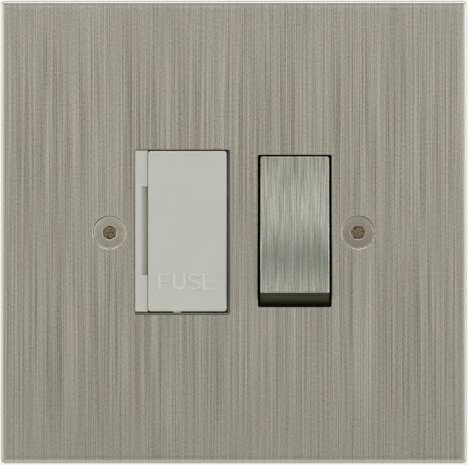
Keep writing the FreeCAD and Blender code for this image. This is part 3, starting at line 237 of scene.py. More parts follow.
@dataclass(frozen=True)
class BrushedSteel(Finish):
    """Steel brushed along Z, whose streaks lie in the surface.

    Fine streaks, broad streaks and a short grain share the tone. A cell is the width and length of a streak.
    """

    swing: Point = (1.15, 0.85)
    edge_mm: float = 0.05
    streak: Streak = Streak.FINE
    through: float = 0.02
    contrast: float = 0.3
    dark_hue: Colour = (0.95, 1.0, 1.06)
    light_hue: Colour = (1.0, 1.05, 1.08)
    reach: float = 0.15
    waver: float = 0.0
    anisotropy: float = 0.7
    groove: float = 0.004
    broad: float = 0.08
    broad_scale: Point = (0.07, 0.5)
    grain: float = 0.32
    grain_cell: Point = (0.25, 1 / 1.8)
    tint: Colour = (0.0, 0.0, 0.0)
    tint_cell: Point = (0.8, 16.0)
    ripple: float = 0.0
    ripple_cell: Point = (0.6, 5.0)
    brushed_face: float | None = None
    rim_fade: float = 0.14
    rim_share: float = 0.8
    rim_colour: Colour = (0.0, 0.0, 0.0)

    def streaks(self, sheet: NodeSheet, cell: Point, detail: float, shift: float,
                waver: float = 0.0) -> Socket:
        """Return a noise of streaks that are as wide and long as the cell."""
        return sheet.noise((1 / cell[0], self.through, 1 / cell[1]), detail, shift, waver)

    def looks(self, sheet: NodeSheet) -> dict[str, object]:
        """Return colour, roughness and relief from long noise streaks."""
        width, length = self.streak.value
        wide, long = self.broad_scale
        fine = self.streaks(sheet, (width, length), detail=3.0, shift=0.0, waver=self.waver)
        broad = self.streaks(sheet, (width / wide, length / long), detail=2.0, shift=7.3)
        grain = self.streaks(sheet, self.grain_cell, detail=2.0, shift=3.1)
        ripple = self.streaks(sheet, self.ripple_cell, detail=2.0, shift=5.7)
        tone = sheet.weighted((fine, 1 - self.broad - self.grain), (broad, self.broad), (grain, self.grain))
        share = sheet.spread(tone, 0.5 - self.reach, 0.5 + self.reach)
        dark = [part * (1 - self.contrast * hue) for part, hue in zip(self.colour, self.dark_hue)]
        light = [part * (1 + self.contrast * hue) for part, hue in zip(self.colour, self.light_hue)]
        brushed = self.tinted(sheet, sheet.blend(share, dark, light))
        if self.brushed_face is not None:
            brushed = sheet.blend(self.on_rim(sheet), brushed, self.rim_colour)
        relief = sheet.weighted((fine, self.groove), (ripple, self.ripple))
        across = sheet.out("ShaderNodeCombineXYZ", {0: 1.0})
        return {"Base Color": brushed, "Metallic": 1.0, "Anisotropic": self.anisotropy, "Tangent": across,
                **self.surface(sheet, fine, relief, 1.0)}

    def tinted(self, sheet: NodeSheet, brushed: Socket) -> Socket:
        """Return the colour with long streaks that are a little pinker or greener."""
        share = sheet.spread(self.streaks(sheet, self.tint_cell, detail=3.0, shift=11.9), *WIDE)
        cast = sheet.blend(share, [1 - part for part in self.tint], [1 + part for part in self.tint])
        return sheet.out("ShaderNodeVectorMath", {0: brushed, 1: cast}, operation="MULTIPLY")

    def on_rim(self, sheet: NodeSheet) -> Socket:
        """Return how far a point lies behind the brushed face, where the streaks fade."""
        start = self.brushed_face * MM
        return sheet.spread(sheet.place()[1], start, start + self.rim_fade * MM, 0.0, self.rim_share)


@dataclass(frozen=True)
class DriveDirtAndShade:
    """Dirt and painted shade in the drives of the two fixing screws, whose axes stand equally far left and
    right.

    The dirt lies in lumps, and the dark gaps between them are painted shade, more of them toward the wall of
    the drive. The wall's range is in shares of the radius, and the lumps' in values of their noise. Patchy is
    a range of the marks and what it gives.
    """

    colour: Colour
    centre: float = 30.05
    radius: float = 2.3
    full_share: float = 0.8
    front: float = -3.2
    front_fade: float = 0.25
    rear: float = -1.4
    rear_fade: float = 0.1
    patchy: tuple[float, float, float, float] = (0.3, 0.55, 0.75, 1.0)
    wall: Point = (0.55, 0.7)
    painted_wall_shade: float = 0.12
    lump_cells: float = 1.7
    lump_range: Point = (0.425, 0.48)
    shade_gap_share: float = 0.12
    right_darkening: float = 0.2

    def off_axis(self, sheet: NodeSheet) -> Socket:
        """Return how far a point lies from the axis of the fixing screw on its side."""
        parts = sheet.place()
        across = sheet.maths("SUBTRACT", sheet.maths("ABSOLUTE", parts[0]), self.centre * MM)
        flat = sheet.out("ShaderNodeCombineXYZ", {0: across, 2: parts[2]})
        return sheet.add("ShaderNodeVectorMath", {0: flat}, operation="LENGTH").outputs["Value"]

    def amount(self, sheet: NodeSheet, marks: Socket, reach: Socket) -> Socket:
        """Return how much dirt and painted shade a point gets: full inside the drive of either fixing screw.
        """
        depth = sheet.place()[1]
        near = sheet.spread(reach, self.radius * MM, self.radius * self.full_share * MM)
        deep = sheet.spread(depth, self.front * MM, (self.front + self.front_fade) * MM)
        inside = sheet.spread(depth, self.rear * MM, (self.rear - self.rear_fade) * MM)
        return sheet.product(deep, inside, near, sheet.spread(marks, *self.patchy))

    def lay(self, sheet: NodeSheet, marks: Socket, metal: Socket) -> tuple[Socket, Socket]:
        """Lay the dirt and its painted shade on a metal.

        Args:
            sheet: the material's nodes.
            marks: the metal's handling marks.
            metal: the metal's colour.

        Returns:
            The colour with the dirt and painted shade, and how metallic it still is.
        """
        reach = self.off_axis(sheet)
        inside = self.amount(sheet, marks, reach)
        # Painted shade: dark gaps grow toward the wall of the drive, where its hollow is shaded.
        wall = sheet.spread(reach, *(share * self.radius * MM for share in self.wall), 0.0, self.painted_wall_shade)
        lumps = sheet.maths("SUBTRACT", sheet.noise((self.lump_cells,) * 3, detail=3.0, shift=9.2), wall)
        gaps = [part * self.shade_gap_share for part in self.colour]
        dirt_and_shade = sheet.blend(sheet.spread(lumps, *self.lump_range), gaps, self.colour)
        # The right screw's metal colour is made darker by this share.
        right = sheet.spread(sheet.place()[0], -MM, MM, 0.0, self.right_darkening)
        darkened = sheet.blend(right, metal, (0.0, 0.0, 0.0))
        return sheet.blend(inside, darkened, dirt_and_shade), sheet.maths("SUBTRACT", 1.0, inside)


@dataclass(frozen=True)
class PlainMetal(Finish):
    """Plated or bare metal with faint handling marks."""

    roughness: float = 0.28
    swing: Point = (0.8, 1.25)
    edge_mm: float = 0.06
    relief_mm: float = 0.006
    tarnish: float = 0.9
    cloud_cells: float = 0.6
    mark_cells: float = 4.0
    drive_dirt_and_shade: DriveDirtAndShade | None = None

    def looks(self, sheet: NodeSheet) -> dict[str, object]:
        """Return colour with tarnish, dirt and painted shade, roughness and relief."""
        cloud = sheet.noise((self.cloud_cells,) * 3, detail=3.0)
        marks = sheet.noise((self.mark_cells,) * 3, detail=3.0, shift=2.1)
        dull = [part * self.tarnish for part in self.colour]
        colour, metallic = sheet.blend(sheet.spread(cloud, *NARROW), dull, self.colour), 1.0
        if self.drive_dirt_and_shade is not None:
            colour, metallic = self.drive_dirt_and_shade.lay(sheet, marks, colour)
        return {"Base Color": colour, "Metallic": metallic,
                **self.surface(sheet, marks, marks, self.relief_mm)}


@dataclass(frozen=True)
class Moulding(Finish):
    """Moulded plastic, ceramic or rubber with a fine grain and faint cloudiness, and where asked a painted
    warm reflection.
    """

    roughness: float = 0.4
    grain_mm: float = 0.12
    relief_mm: float = 0.004
    cloud: float = 0.05
    cloud_cells: float = 0.09
    coat: float = 0.0
    # Painted warm reflection: a lighter, warmer colour blended in between two corners given in mm of X and
    # depth.
    painted_reflection: Colour | None = None
    reflection_from: Point = (0.0, 0.0)
    reflection_to: Point = (0.0, 0.0)
    reflection_end: Point = (0.3, 0.2)

    def looks(self, sheet: NodeSheet) -> dict[str, object]:
        """Return colour, roughness and relief from two scales of noise."""
        grain = sheet.noise((1 / self.grain_mm,) * 3)
        patch = sheet.noise((self.cloud_cells,) * 3, detail=3.0, shift=4.4)
        low = [part * (1 - self.cloud) for part in self.colour]
        high = [min(part * (1 + self.cloud), 1.0) for part in self.colour]
        tone = sheet.blend(sheet.spread(patch, *NARROW), low, high)
        # Blend in the painted warm reflection.
        if self.painted_reflection is not None:
            tone = sheet.blend(self.painted_reflection_share(sheet), tone, self.painted_reflection)
        return {"Base Color": tone, "Coat Weight": self.coat,
                **self.surface(sheet, grain, grain, self.relief_mm)}

    def painted_reflection_share(self, sheet: NodeSheet) -> Socket:
        """Return how much painted warm reflection a point gets: it grows to the right and to the rear, up to
        the joint.
        """
        across, depth, _ = sheet.place()
        right = sheet.spread(across, self.reflection_from[0] * MM, self.reflection_to[0] * MM)
        rear = sheet.spread(depth, self.reflection_from[1] * MM, self.reflection_to[1] * MM)
        short = sheet.spread(across, *((self.reflection_to[0] + past) * MM for past in self.reflection_end))
        return sheet.product(right, rear, short)


PLATE_STEEL = BrushedSteel("plate_brushed_steel", linear(190, 186, 172), contrast=0.56,
                           tint=(0.03, -0.006, 0.03), brushed_face=-3.29, rim_colour=linear(185, 184, 176))
ROCKER_STEEL = BrushedSteel("rocker_brushed_steel", linear(191, 191, 180), streak=Streak.COARSE,
                            contrast=0.5, tint=(0.025, -0.004, 0.0), tint_cell=(0.8, 6.0), waver=0.5,
                            roughness=0.25, grain=0.22, ripple=0.03)
# The fixing screws carry dirt and painted shade in their drives.
SCREW_HEAD = PlainMetal("fixing_screw_nickel", linear(200, 195, 177), relief_mm=0.002,
                        drive_dirt_and_shade=DriveDirtAndShade(linear(166, 146, 104)))
ZINC = PlainMetal("zinc_plated_steel", linear(168, 170, 172), roughness=0.34)
SPRING_WIRE = PlainMetal("spring_wire", linear(140, 140, 142), roughness=0.3)
CONTACT_BRASS = PlainMetal("pressed_brass", linear(205, 172, 104), roughness=0.3)
TERMINAL_BRASS = PlainMetal("turned_brass", linear(212, 180, 110), roughness=0.24)
CAP_NICKEL = PlainMetal("nickel_plated_cap", linear(196, 194, 186), roughness=0.22)
SILVER = PlainMetal("silver_tip", linear(214, 213, 208), roughness=0.2)
COPPER = PlainMetal("fuse_wire", linear(196, 128, 96), roughness=0.25)
# The frame's notch by the drawer's cover carries a painted warm reflection.
WHITE = Moulding("frame_white", linear(202, 202, 194), cloud=0.015, painted_reflection=linear(227, 211, 183),
                 reflection_from=(-21.5, -3.4), reflection_to=(-20.85, -2.7))
DRAWER_WHITE = Moulding("drawer_white", linear(200, 201, 193), roughness=0.38, cloud=0.015)
# The letters are coloured lighter than the drawer's own white: a painted highlight on the raised strokes.
LETTER_WHITE_PAINTED_HIGHLIGHT = Moulding("raised_letters_painted_highlight", linear(216, 217, 211), roughness=0.34)
DARK = Moulding("switch_black", linear(48, 49, 33), roughness=0.45, cloud=0.12)
HOUSING = Moulding("housing_grey", linear(206, 206, 198), roughness=0.46, grain_mm=0.2, relief_mm=0.01,
                   cloud=0.025)
PLUNGER = Moulding("plunger_ivory", linear(222, 218, 204), roughness=0.4)
CERAMIC = Moulding("fuse_ceramic", linear(232, 229, 219), roughness=0.24, coat=0.4, relief_mm=0.002)
RUBBER = Moulding("liner_foam", linear(38, 38, 38), roughness=0.8, grain_mm=0.3, relief_mm=0.03)
FLOOR = Moulding("pale_floor", (0.82, 0.82, 0.81), roughness=0.7, grain_mm=3.0, cloud=0.01)


# mesh helpers

@dataclass(frozen=True)
class Outline:
    """A closed outline seen from the front: a rectangle with round corners, or a circle."""

    left: float
    right: float
    foot: float
    top: float
    corner: float
    steps: int = 6
    foot_corner: float | None = None

    def points(self, inset: float) -> list[Point]:
        """Return the outline moved inward, counter-clockwise.

        Args:
            inset: distance moved inward in mm; a negative one moves outward.

        Returns:
            The points, as many for every inset.
        """
        high = max(self.corner - inset, LEAST_RADIUS)
        low = high if self.foot_corner is None else max(self.foot_corner - inset, LEAST_RADIUS)
        corners = ((self.right - inset - high, self.top - inset - high, high),
                   (self.left + inset + high, self.top - inset - high, high),
                   (self.left + inset + low, self.foot + inset + low, low),
                   (self.right - inset - low, self.foot + inset + low, low))
        found = []
        for quarter, (centre_x, centre_z, radius) in enumerate(corners):
            for step in range(self.steps + 1):
                angle = (quarter + step / self.steps) * math.pi / 2
                found.append((centre_x + radius * math.cos(angle), centre_z + radius * math.sin(angle)))
        return found


def disc(x: float, radius: float, steps: int) -> Outline:
    """Return a circle on the X axis as an outline."""
    return Outline(x - radius, x + radius, -radius, radius, radius, steps)


@dataclass
class Course:
    """One outline and the course of its edge from front to rear, as pairs of inset and depth."""

    outline: Outline
    stations: Sequence[Point]

    def loops(self) -> list[list[Vector]]:
        """Return one loop of points for every station."""
        return [[Vector((x, depth, z)) for x, z in self.outline.points(inset)]
                for inset, depth in self.stations]


def placed(name: str, data: bpy.types.ID) -> bpy.types.Object:
    """Return a new object of the scene with this mesh, lamp or camera."""
    made = bpy.data.objects.new(name, data)
    bpy.context.scene.collection.objects.link(made)
    return made


def softened(mesh: bpy.types.Mesh, angle: float) -> None:
    """Shade a mesh smooth, apart from edges sharper than an angle in degrees."""
    mesh.shade_smooth()
    mesh.set_sharp_from_angle(angle=math.radians(angle))


def meshed(name: str, shape: Shape) -> bpy.types.Mesh:
    """Return a shape in mm, which is used up, as a mesh in metres."""
    bmesh.ops.recalc_face_normals(shape, faces=shape.faces)
    bmesh.ops.scale(shape, vec=(MM, MM, MM), verts=shape.verts)
    mesh = bpy.data.meshes.new(name)
    shape.to_mesh(mesh)
    shape.free()
    return mesh


def finished(name: str, shape: Shape, finish: Finish, body: str,
             smooth_below: float = SMOOTH_BELOW) -> bpy.types.Object:
    """Make a mesh, in mm until here, an object that rides on a body.

    Args:
        name: name of the piece.
        shape: its mesh, which is used up.
        finish: its surface.
        body: the body that it moves with.
        smooth_below: angle in degrees below which edges are shaded smooth; 0 shades flat.

    Returns:
        The finished object.
    """
    bmesh.ops.remove_doubles(shape, verts=shape.verts, dist=MERGED_WITHIN)
    mesh = meshed(name, shape)
    if smooth_below:
        softened(mesh, smooth_below)
    mesh.materials.append(finish.material())
    made = placed(name, mesh)
    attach(made, body)
    return made


def bridge(shape: Shape, loops: Sequence[Sequence[bmesh.types.BMVert]], closed: bool = False) -> None:
    """Join neighbouring loops of the same count with faces, and close both ends where that is asked."""
    for near, far in zip(loops, loops[1:]):
        count = len(near)
        for index in range(count):
            following = (index + 1) % count
            shape.faces.new((near[index], near[following], far[following], far[index]))
    if closed:
        for end in (loops[0], loops[-1]):
            shape.faces.new(end)


def carried(shape: Shape, tilt: float, place: Vector) -> Shape:
    """Tilt a shape about the X axis by an angle in degrees and carry it to a place."""
    lean = Matrix.Rotation(math.radians(tilt), 3, "X")
    bmesh.ops.rotate(shape, cent=(0, 0, 0), matrix=lean, verts=shape.verts)
    bmesh.ops.translate(shape, vec=place, verts=shape.verts)
    return shape


def cut(shape: Shape, place: Point3, way: Point3) -> None:
    """Cut every face where it crosses a plane, and keep both sides."""
    everything = shape.verts[:] + shape.edges[:] + shape.faces[:]
    bmesh.ops.bisect_plane(shape, geom=everything, plane_co=place, plane_no=way)


def panel(courses: Sequence[Course]) -> Shape:
    """Return a plate with a shaped rim and shaped holes.

    Args:
        courses: the rim first, then the holes.

    Returns:
        The closed mesh in mm.
    """
    shape = bmesh.new()
    rims = []
    for course in courses:
        loops = [[shape.verts.new(point) for point in loop] for loop in course.loops()]
        bridge(shape, loops)
        rims.append((loops[0], loops[-1]))
    for end in (0, 1):
        corners = [vert for rim in rims for vert in rim[end]]
        for triangle in tessellate_polygon([[vert.co for vert in rim[end]] for rim in rims]):
            shape.faces.new([corners[index] for index in triangle])
    return shape


def turned(profile: Sequence[Point], steps: int, cut_in: CutIn | None = None) -> Shape:
    """Return a piece turned about the Y axis, with a flat face at both ends.

    Args:
        profile: rows as pairs of depth and radius.
        steps: points round the axis.
        cut_in: gives what is cut from the radius of a row at an angle, on a piece that isn't round.

    Returns:
        The closed mesh in mm.
    """
    shape = bmesh.new()
    loops = []
    for row, (depth, radius) in enumerate(profile):
        loop = []
        for step in range(steps):
            angle = 2 * math.pi * step / steps
            reach = radius - (cut_in(row, angle) if cut_in else 0)
            loop.append(shape.verts.new((reach * math.cos(angle), depth, reach * math.sin(angle))))
        loops.append(loop)
    bridge(shape, loops, closed=True)
    return shape


def dress(finish: Finish, *names: str) -> None:
    """Give CAD nodes a finish on their own slots."""
    for name in names:
        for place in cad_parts[name].material_slots:
            place.material = finish.material()


# sub-assemblies

@dataclass
class FrontPlate:
    """The brushed plate with its bevel, two windows and two countersunk holes, and the liner behind it."""

    rim: Sequence[Point] = ((1.9, 0.0), (1.5, 0.01), (1.25, 0.025), (1.0, 0.05), (0.76, 0.093), (0.52, 0.189),
                            (0.28, 0.338), (0.1, 0.53), (0.02, 0.66), (0.0, 0.8))
    soft: float = 0.07
    guard: float = 0.2
    corner: float = 1.0
    window_corner: float = 0.35
    window_edge: float = 0.12
    fuse_window: tuple[float, float, float, float] = (-23.95, -0.95, -19.95, 19.95)
    rocker_window: tuple[float, float, float, float] = (5.8, 23.7, -18.11, 18.75)
    screw_places: tuple[float, float] = (-30.15, 30.15)
    sink_radius: float = 4.1
    hole_radius: float = 2.1
    sink_steps: int = 20

    def build(self) -> None:
        """Build the plate over its node and dress the liner."""
        low, high = (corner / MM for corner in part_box("front_plate"))
        face, rear, soft, edge = low.y, high.y, self.soft, self.window_edge
        rim = Course(Outline(low.x, high.x, low.z, high.z, self.corner), (
            *((inset, face + depth) for inset, depth in self.rim), (0, rear - soft), (soft, rear)))
        windows = [Course(Outline(*window, self.window_corner), (
            (-edge - self.guard, face), (-edge, face), (-edge * MID_ARC, face + edge * MID_ARC),
            (0, face + edge), (0, rear))) for window in (self.fuse_window, self.rocker_window)]
        waist = self.sink_radius - self.hole_radius
        sinks = [Course(disc(x, self.sink_radius, self.sink_steps), (
            (-soft - self.guard, face), (-soft, face), (soft * MID_ARC, face + soft), (waist, face + waist),
            (waist, rear))) for x in self.screw_places]
        plate = finished("brushed_plate", panel([rim, *windows, *sinks]), PLATE_STEEL, "base",
                         smooth_below=20)
        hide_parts("front_plate")
        dress(RUBBER, "plate_liner")


@dataclass(kw_only=True)
class Screws:
    """Screws of one kind: a blank with a rolled thread, set at several places.

    The shank reaches from one depth to another, and the thread leaves some room free at either end of it.
    """

    name: str
    node: str
    places: Sequence[Point3]
    radius: float
    head_radius: float
    shank: Point
    thread_room: Point
    thread_depth: float
    ridge: float
    pitch: float
    spin: float = math.pi
    seed: int = 3
    finish: Finish = ZINC

    def blank(self) -> Shape:
        """Return the unthreaded piece about the Y axis, in mm."""
        raise NotImplementedError

    def tree(self) -> bpy.types.NodeTree:
        """Return a node tree that winds a thread round a blank and sets copies of both at every place."""
        known = bpy.data.node_groups.get("threaded_pieces")
        if known is not None:
            return known
        tree = bpy.data.node_groups.new("threaded_pieces", "GeometryNodeTree")
        kinds = {"Blank": "Geometry", "Core": "Float", "Ridge": "Float", "Turns": "Float", "Length": "Float",
                 "Start": "Float", "Spin": "Float", "Seed": "Int", "Places": "Object", "Finish": "Material"}
        for name, kind in kinds.items():
            tree.interface.new_socket(name, in_out="INPUT", socket_type="NodeSocket" + kind)
        tree.interface.new_socket("Pieces", in_out="OUTPUT", socket_type="NodeSocketGeometry")
        sheet = NodeSheet(tree)
        given = sheet.add("NodeGroupInput").outputs
        helix = sheet.out("GeometryNodeCurveSpiral", {
            "Resolution": 20, "Rotations": given["Turns"], "Start Radius": given["Core"],
            "End Radius": given["Core"], "Height": given["Length"]})
        profile = sheet.out("GeometryNodeCurvePrimitiveCircle", {"Resolution": 5, "Radius": given["Ridge"]})
        ridge = sheet.out("GeometryNodeCurveToMesh", {
            "Curve": helix, "Profile Curve": profile, "Fill Caps": True})
        offset = sheet.out("ShaderNodeCombineXYZ", {1: given["Start"]})
        laid = sheet.out("GeometryNodeTransform", {
            "Geometry": ridge, "Translation": offset, "Rotation": (-math.pi / 2, 0, 0)})
        whole = sheet.add("GeometryNodeJoinGeometry", {0: given["Blank"]})
        tree.links.new(laid, whole.inputs[0])
        spots = sheet.add("GeometryNodeObjectInfo", {"Object": given["Places"]})
        spin = sheet.add("FunctionNodeRandomValue", {"Max": given["Spin"], "Seed": given["Seed"]},
                         data_type="FLOAT")
        spin_value = [socket for socket in spin.outputs if socket.enabled][0]
        turn = sheet.out("ShaderNodeCombineXYZ", {1: spin_value})
        copies = sheet.out("GeometryNodeInstanceOnPoints", {
            "Points": spots.outputs["Geometry"], "Instance": whole.outputs[0], "Rotation": turn})
        solid = sheet.out("GeometryNodeRealizeInstances", {0: copies})
        coated = sheet.out("GeometryNodeSetMaterial", {"Geometry": solid, "Material": given["Finish"]})
        sheet.add("NodeGroupOutput", {0: coated})
        return tree

    def build(self) -> None:
        """Build the screws over their node."""
        holder = placed(self.name + "_blank", meshed(self.name + "_blank", self.blank()))
        spots_mesh = bpy.data.meshes.new(self.name + "_places")
        spots_mesh.from_pydata([[part * MM for part in place] for place in self.places], [], [])
        spots = placed(self.name + "_places", spots_mesh)
        modifier = holder.modifiers.new("threads", "NODES")
        modifier.node_group = self.tree()
        start = self.shank[0] + self.thread_room[0]
        length = self.shank[1] - self.thread_room[1] - start
        values = {"Core": (self.radius - self.thread_depth) * MM, "Ridge": self.ridge * MM,
                  "Turns": length / self.pitch, "Length": length * MM, "Start": start * MM, "Spin": self.spin,
                  "Seed": self.seed, "Places": spots, "Finish": self.finish.material()}
        for item in modifier.node_group.interface.items_tree:
            if item.in_out == "INPUT" and item.name in values:
                modifier[item.identifier] = values[item.name]
        bpy.context.view_layer.update()
        baked = bpy.data.meshes.new_from_object(holder.evaluated_get(bpy.context.evaluated_depsgraph_get()))
        baked.name = self.name
        for item in (holder, spots):
            bpy.data.objects.remove(item)
        softened(baked, SMOOTH_BELOW)
        made = placed(self.name, baked)
        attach(made, "base")
        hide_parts(self.node)
        LOG.info("%s set at %d places", self.name, len(self.places))


@dataclass(kw_only=True)
class FixingScrews(Screws):
    """The two countersunk screws that hold the plate on the wall box."""

    name: str = "fixing_screws_threaded"
    node: str = "fixing_screws"
    places: Sequence[Point3] = ((-30.05, 0.0, -0.1), (30.07, 0.0, -0.08))
    head_face: float = -3.28
    head_radius: float = 3.93
    rim: Sequence[Point] = ((0.4, 0.0), (0.26, 0.02), (0.13, 0.06), (0.03, 0.12), (0.0, 0.15))
    neck_radius: float = 1.55
    neck_step: float = 0.2
    radius: float = 1.75
    shank: Point = (0.0, 22.0)
    tip_chamfer: Point = (0.6, 0.5)
    drive_radius: float = 1.72
    drive_lobe: float = 0.13
    drive_lobes: int = 6
    drive_depth: float = 1.3
    drive_taper: float = 0.86
    drive_point: Point = (0.35, 0.01)
    drive_edge: Point = (0.1, 0.12)
    thread_room: Point = (0.3, 0.9)
    thread_depth: float = 0.3
    ridge: float = 0.28
    pitch: float = 0.7
    spin: float = math.pi / 3
    seed: int = 5
    finish: Finish = SCREW_HEAD
    steps: int = 72

    def blank(self) -> Shape:
        """Return one screw without its thread, with a six-lobed drive in the head."""
        face, drive = self.head_face, self.drive_radius
        floor = face + self.drive_depth
        start, tip = self.shank
        core = self.radius - self.thread_depth
        cone = face + self.rim[-1][1] + self.head_radius - self.neck_radius
        recess = [(floor, drive * self.drive_taper), (face + self.drive_edge[0], drive),
                  (face, drive + self.drive_edge[1])]

        def lobe(row: int, angle: float) -> float:
            """Return how far a row of the recess stands in at an angle."""
            if not 0 < row <= len(recess):
                return 0.0
            notch = (0.5 - 0.5 * math.cos(self.drive_lobes * angle)) ** 2 * self.drive_lobe
            return notch * min(recess[row - 1][1] / drive, 1)

        return turned([(floor + self.drive_point[0], self.drive_point[1]), *recess,
                       *((face + depth, self.head_radius - inset) for inset, depth in self.rim),
                       (cone, self.neck_radius), (start, self.neck_radius), (start + self.neck_step, core),
                       (tip - self.tip_chamfer[0], core), (tip, core - self.tip_chamfer[1])],
                      self.steps, lobe)


@dataclass(kw_only=True)
class SlottedScrews(Screws):
    """Slotted cylinder-head screws that look out of the rear of the case."""

    head_rear: float
    slot_half_width: float = 0.35
    slot_depth: float = 0.8
    thread_room: Point = (0.5, 0.2)
    thread_depth: float = 0.25
    ridge: float = 0.23
    pitch: float = 0.55
    chamfer: float = 0.4
    front_soft: float = 0.1
    rear_soft: float = 0.25
    steps: int = 40
    touch: float = 1e-4

    def blank(self) -> Shape:
        """Return one screw with a slot across its head."""
        core, rear = self.radius - self.thread_depth, self.head_rear
        (tip, front), head, small, soft = self.shank, self.head_radius, self.front_soft, self.rear_soft
        shape = turned([(tip, core - self.chamfer), (tip + self.chamfer, core), (front, core),
                        (front, head - small), (front + small, head), (rear - soft, head),
                        (rear - soft * MID_ARC, head - soft * MID_ARC), (rear, head - soft)], self.steps)
        half, floor = self.slot_half_width, rear - self.slot_depth
        bmesh.ops.recalc_face_normals(shape, faces=shape.faces)
        for side in (-half, half):
            cut(shape, (side, 0, 0), (1, 0, 0))
        cut(shape, (0, floor, 0), (0, 1, 0))
        cleared = [face for face in shape.faces if abs(face.calc_center_median().x) < half
                   and face.calc_center_median().y > floor]
        bmesh.ops.delete(shape, geom=cleared, context="FACES")
        open_edges = [edge for edge in shape.edges if edge.is_boundary]
        self.line_slot(shape, open_edges, floor)
        return shape

    def line_slot(self, shape: Shape, rim: Iterable[bmesh.types.BMEdge], floor: float) -> None:
        """Close the slot with a floor and two walls.

        Args:
            shape: the screw.
            rim: the open edges round the slot.
            floor: depth of the slot's floor.
        """
        verts = list(dict.fromkeys(vert for edge in rim for vert in edge.verts))
        low = [vert for vert in verts if abs(vert.co.y - floor) < self.touch]
        low.sort(key=lambda vert: math.atan2(vert.co.z, vert.co.x))
        shape.faces.new(low)
        for place in (-self.slot_half_width, self.slot_half_width):
            wall = [vert for vert in verts if abs(vert.co.x - place) < self.touch]
            middle = sum(vert.co.y for vert in wall) / len(wall)
            wall.sort(key=lambda vert: math.atan2(vert.co.y - middle, vert.co.z))
            shape.faces.new(wall)


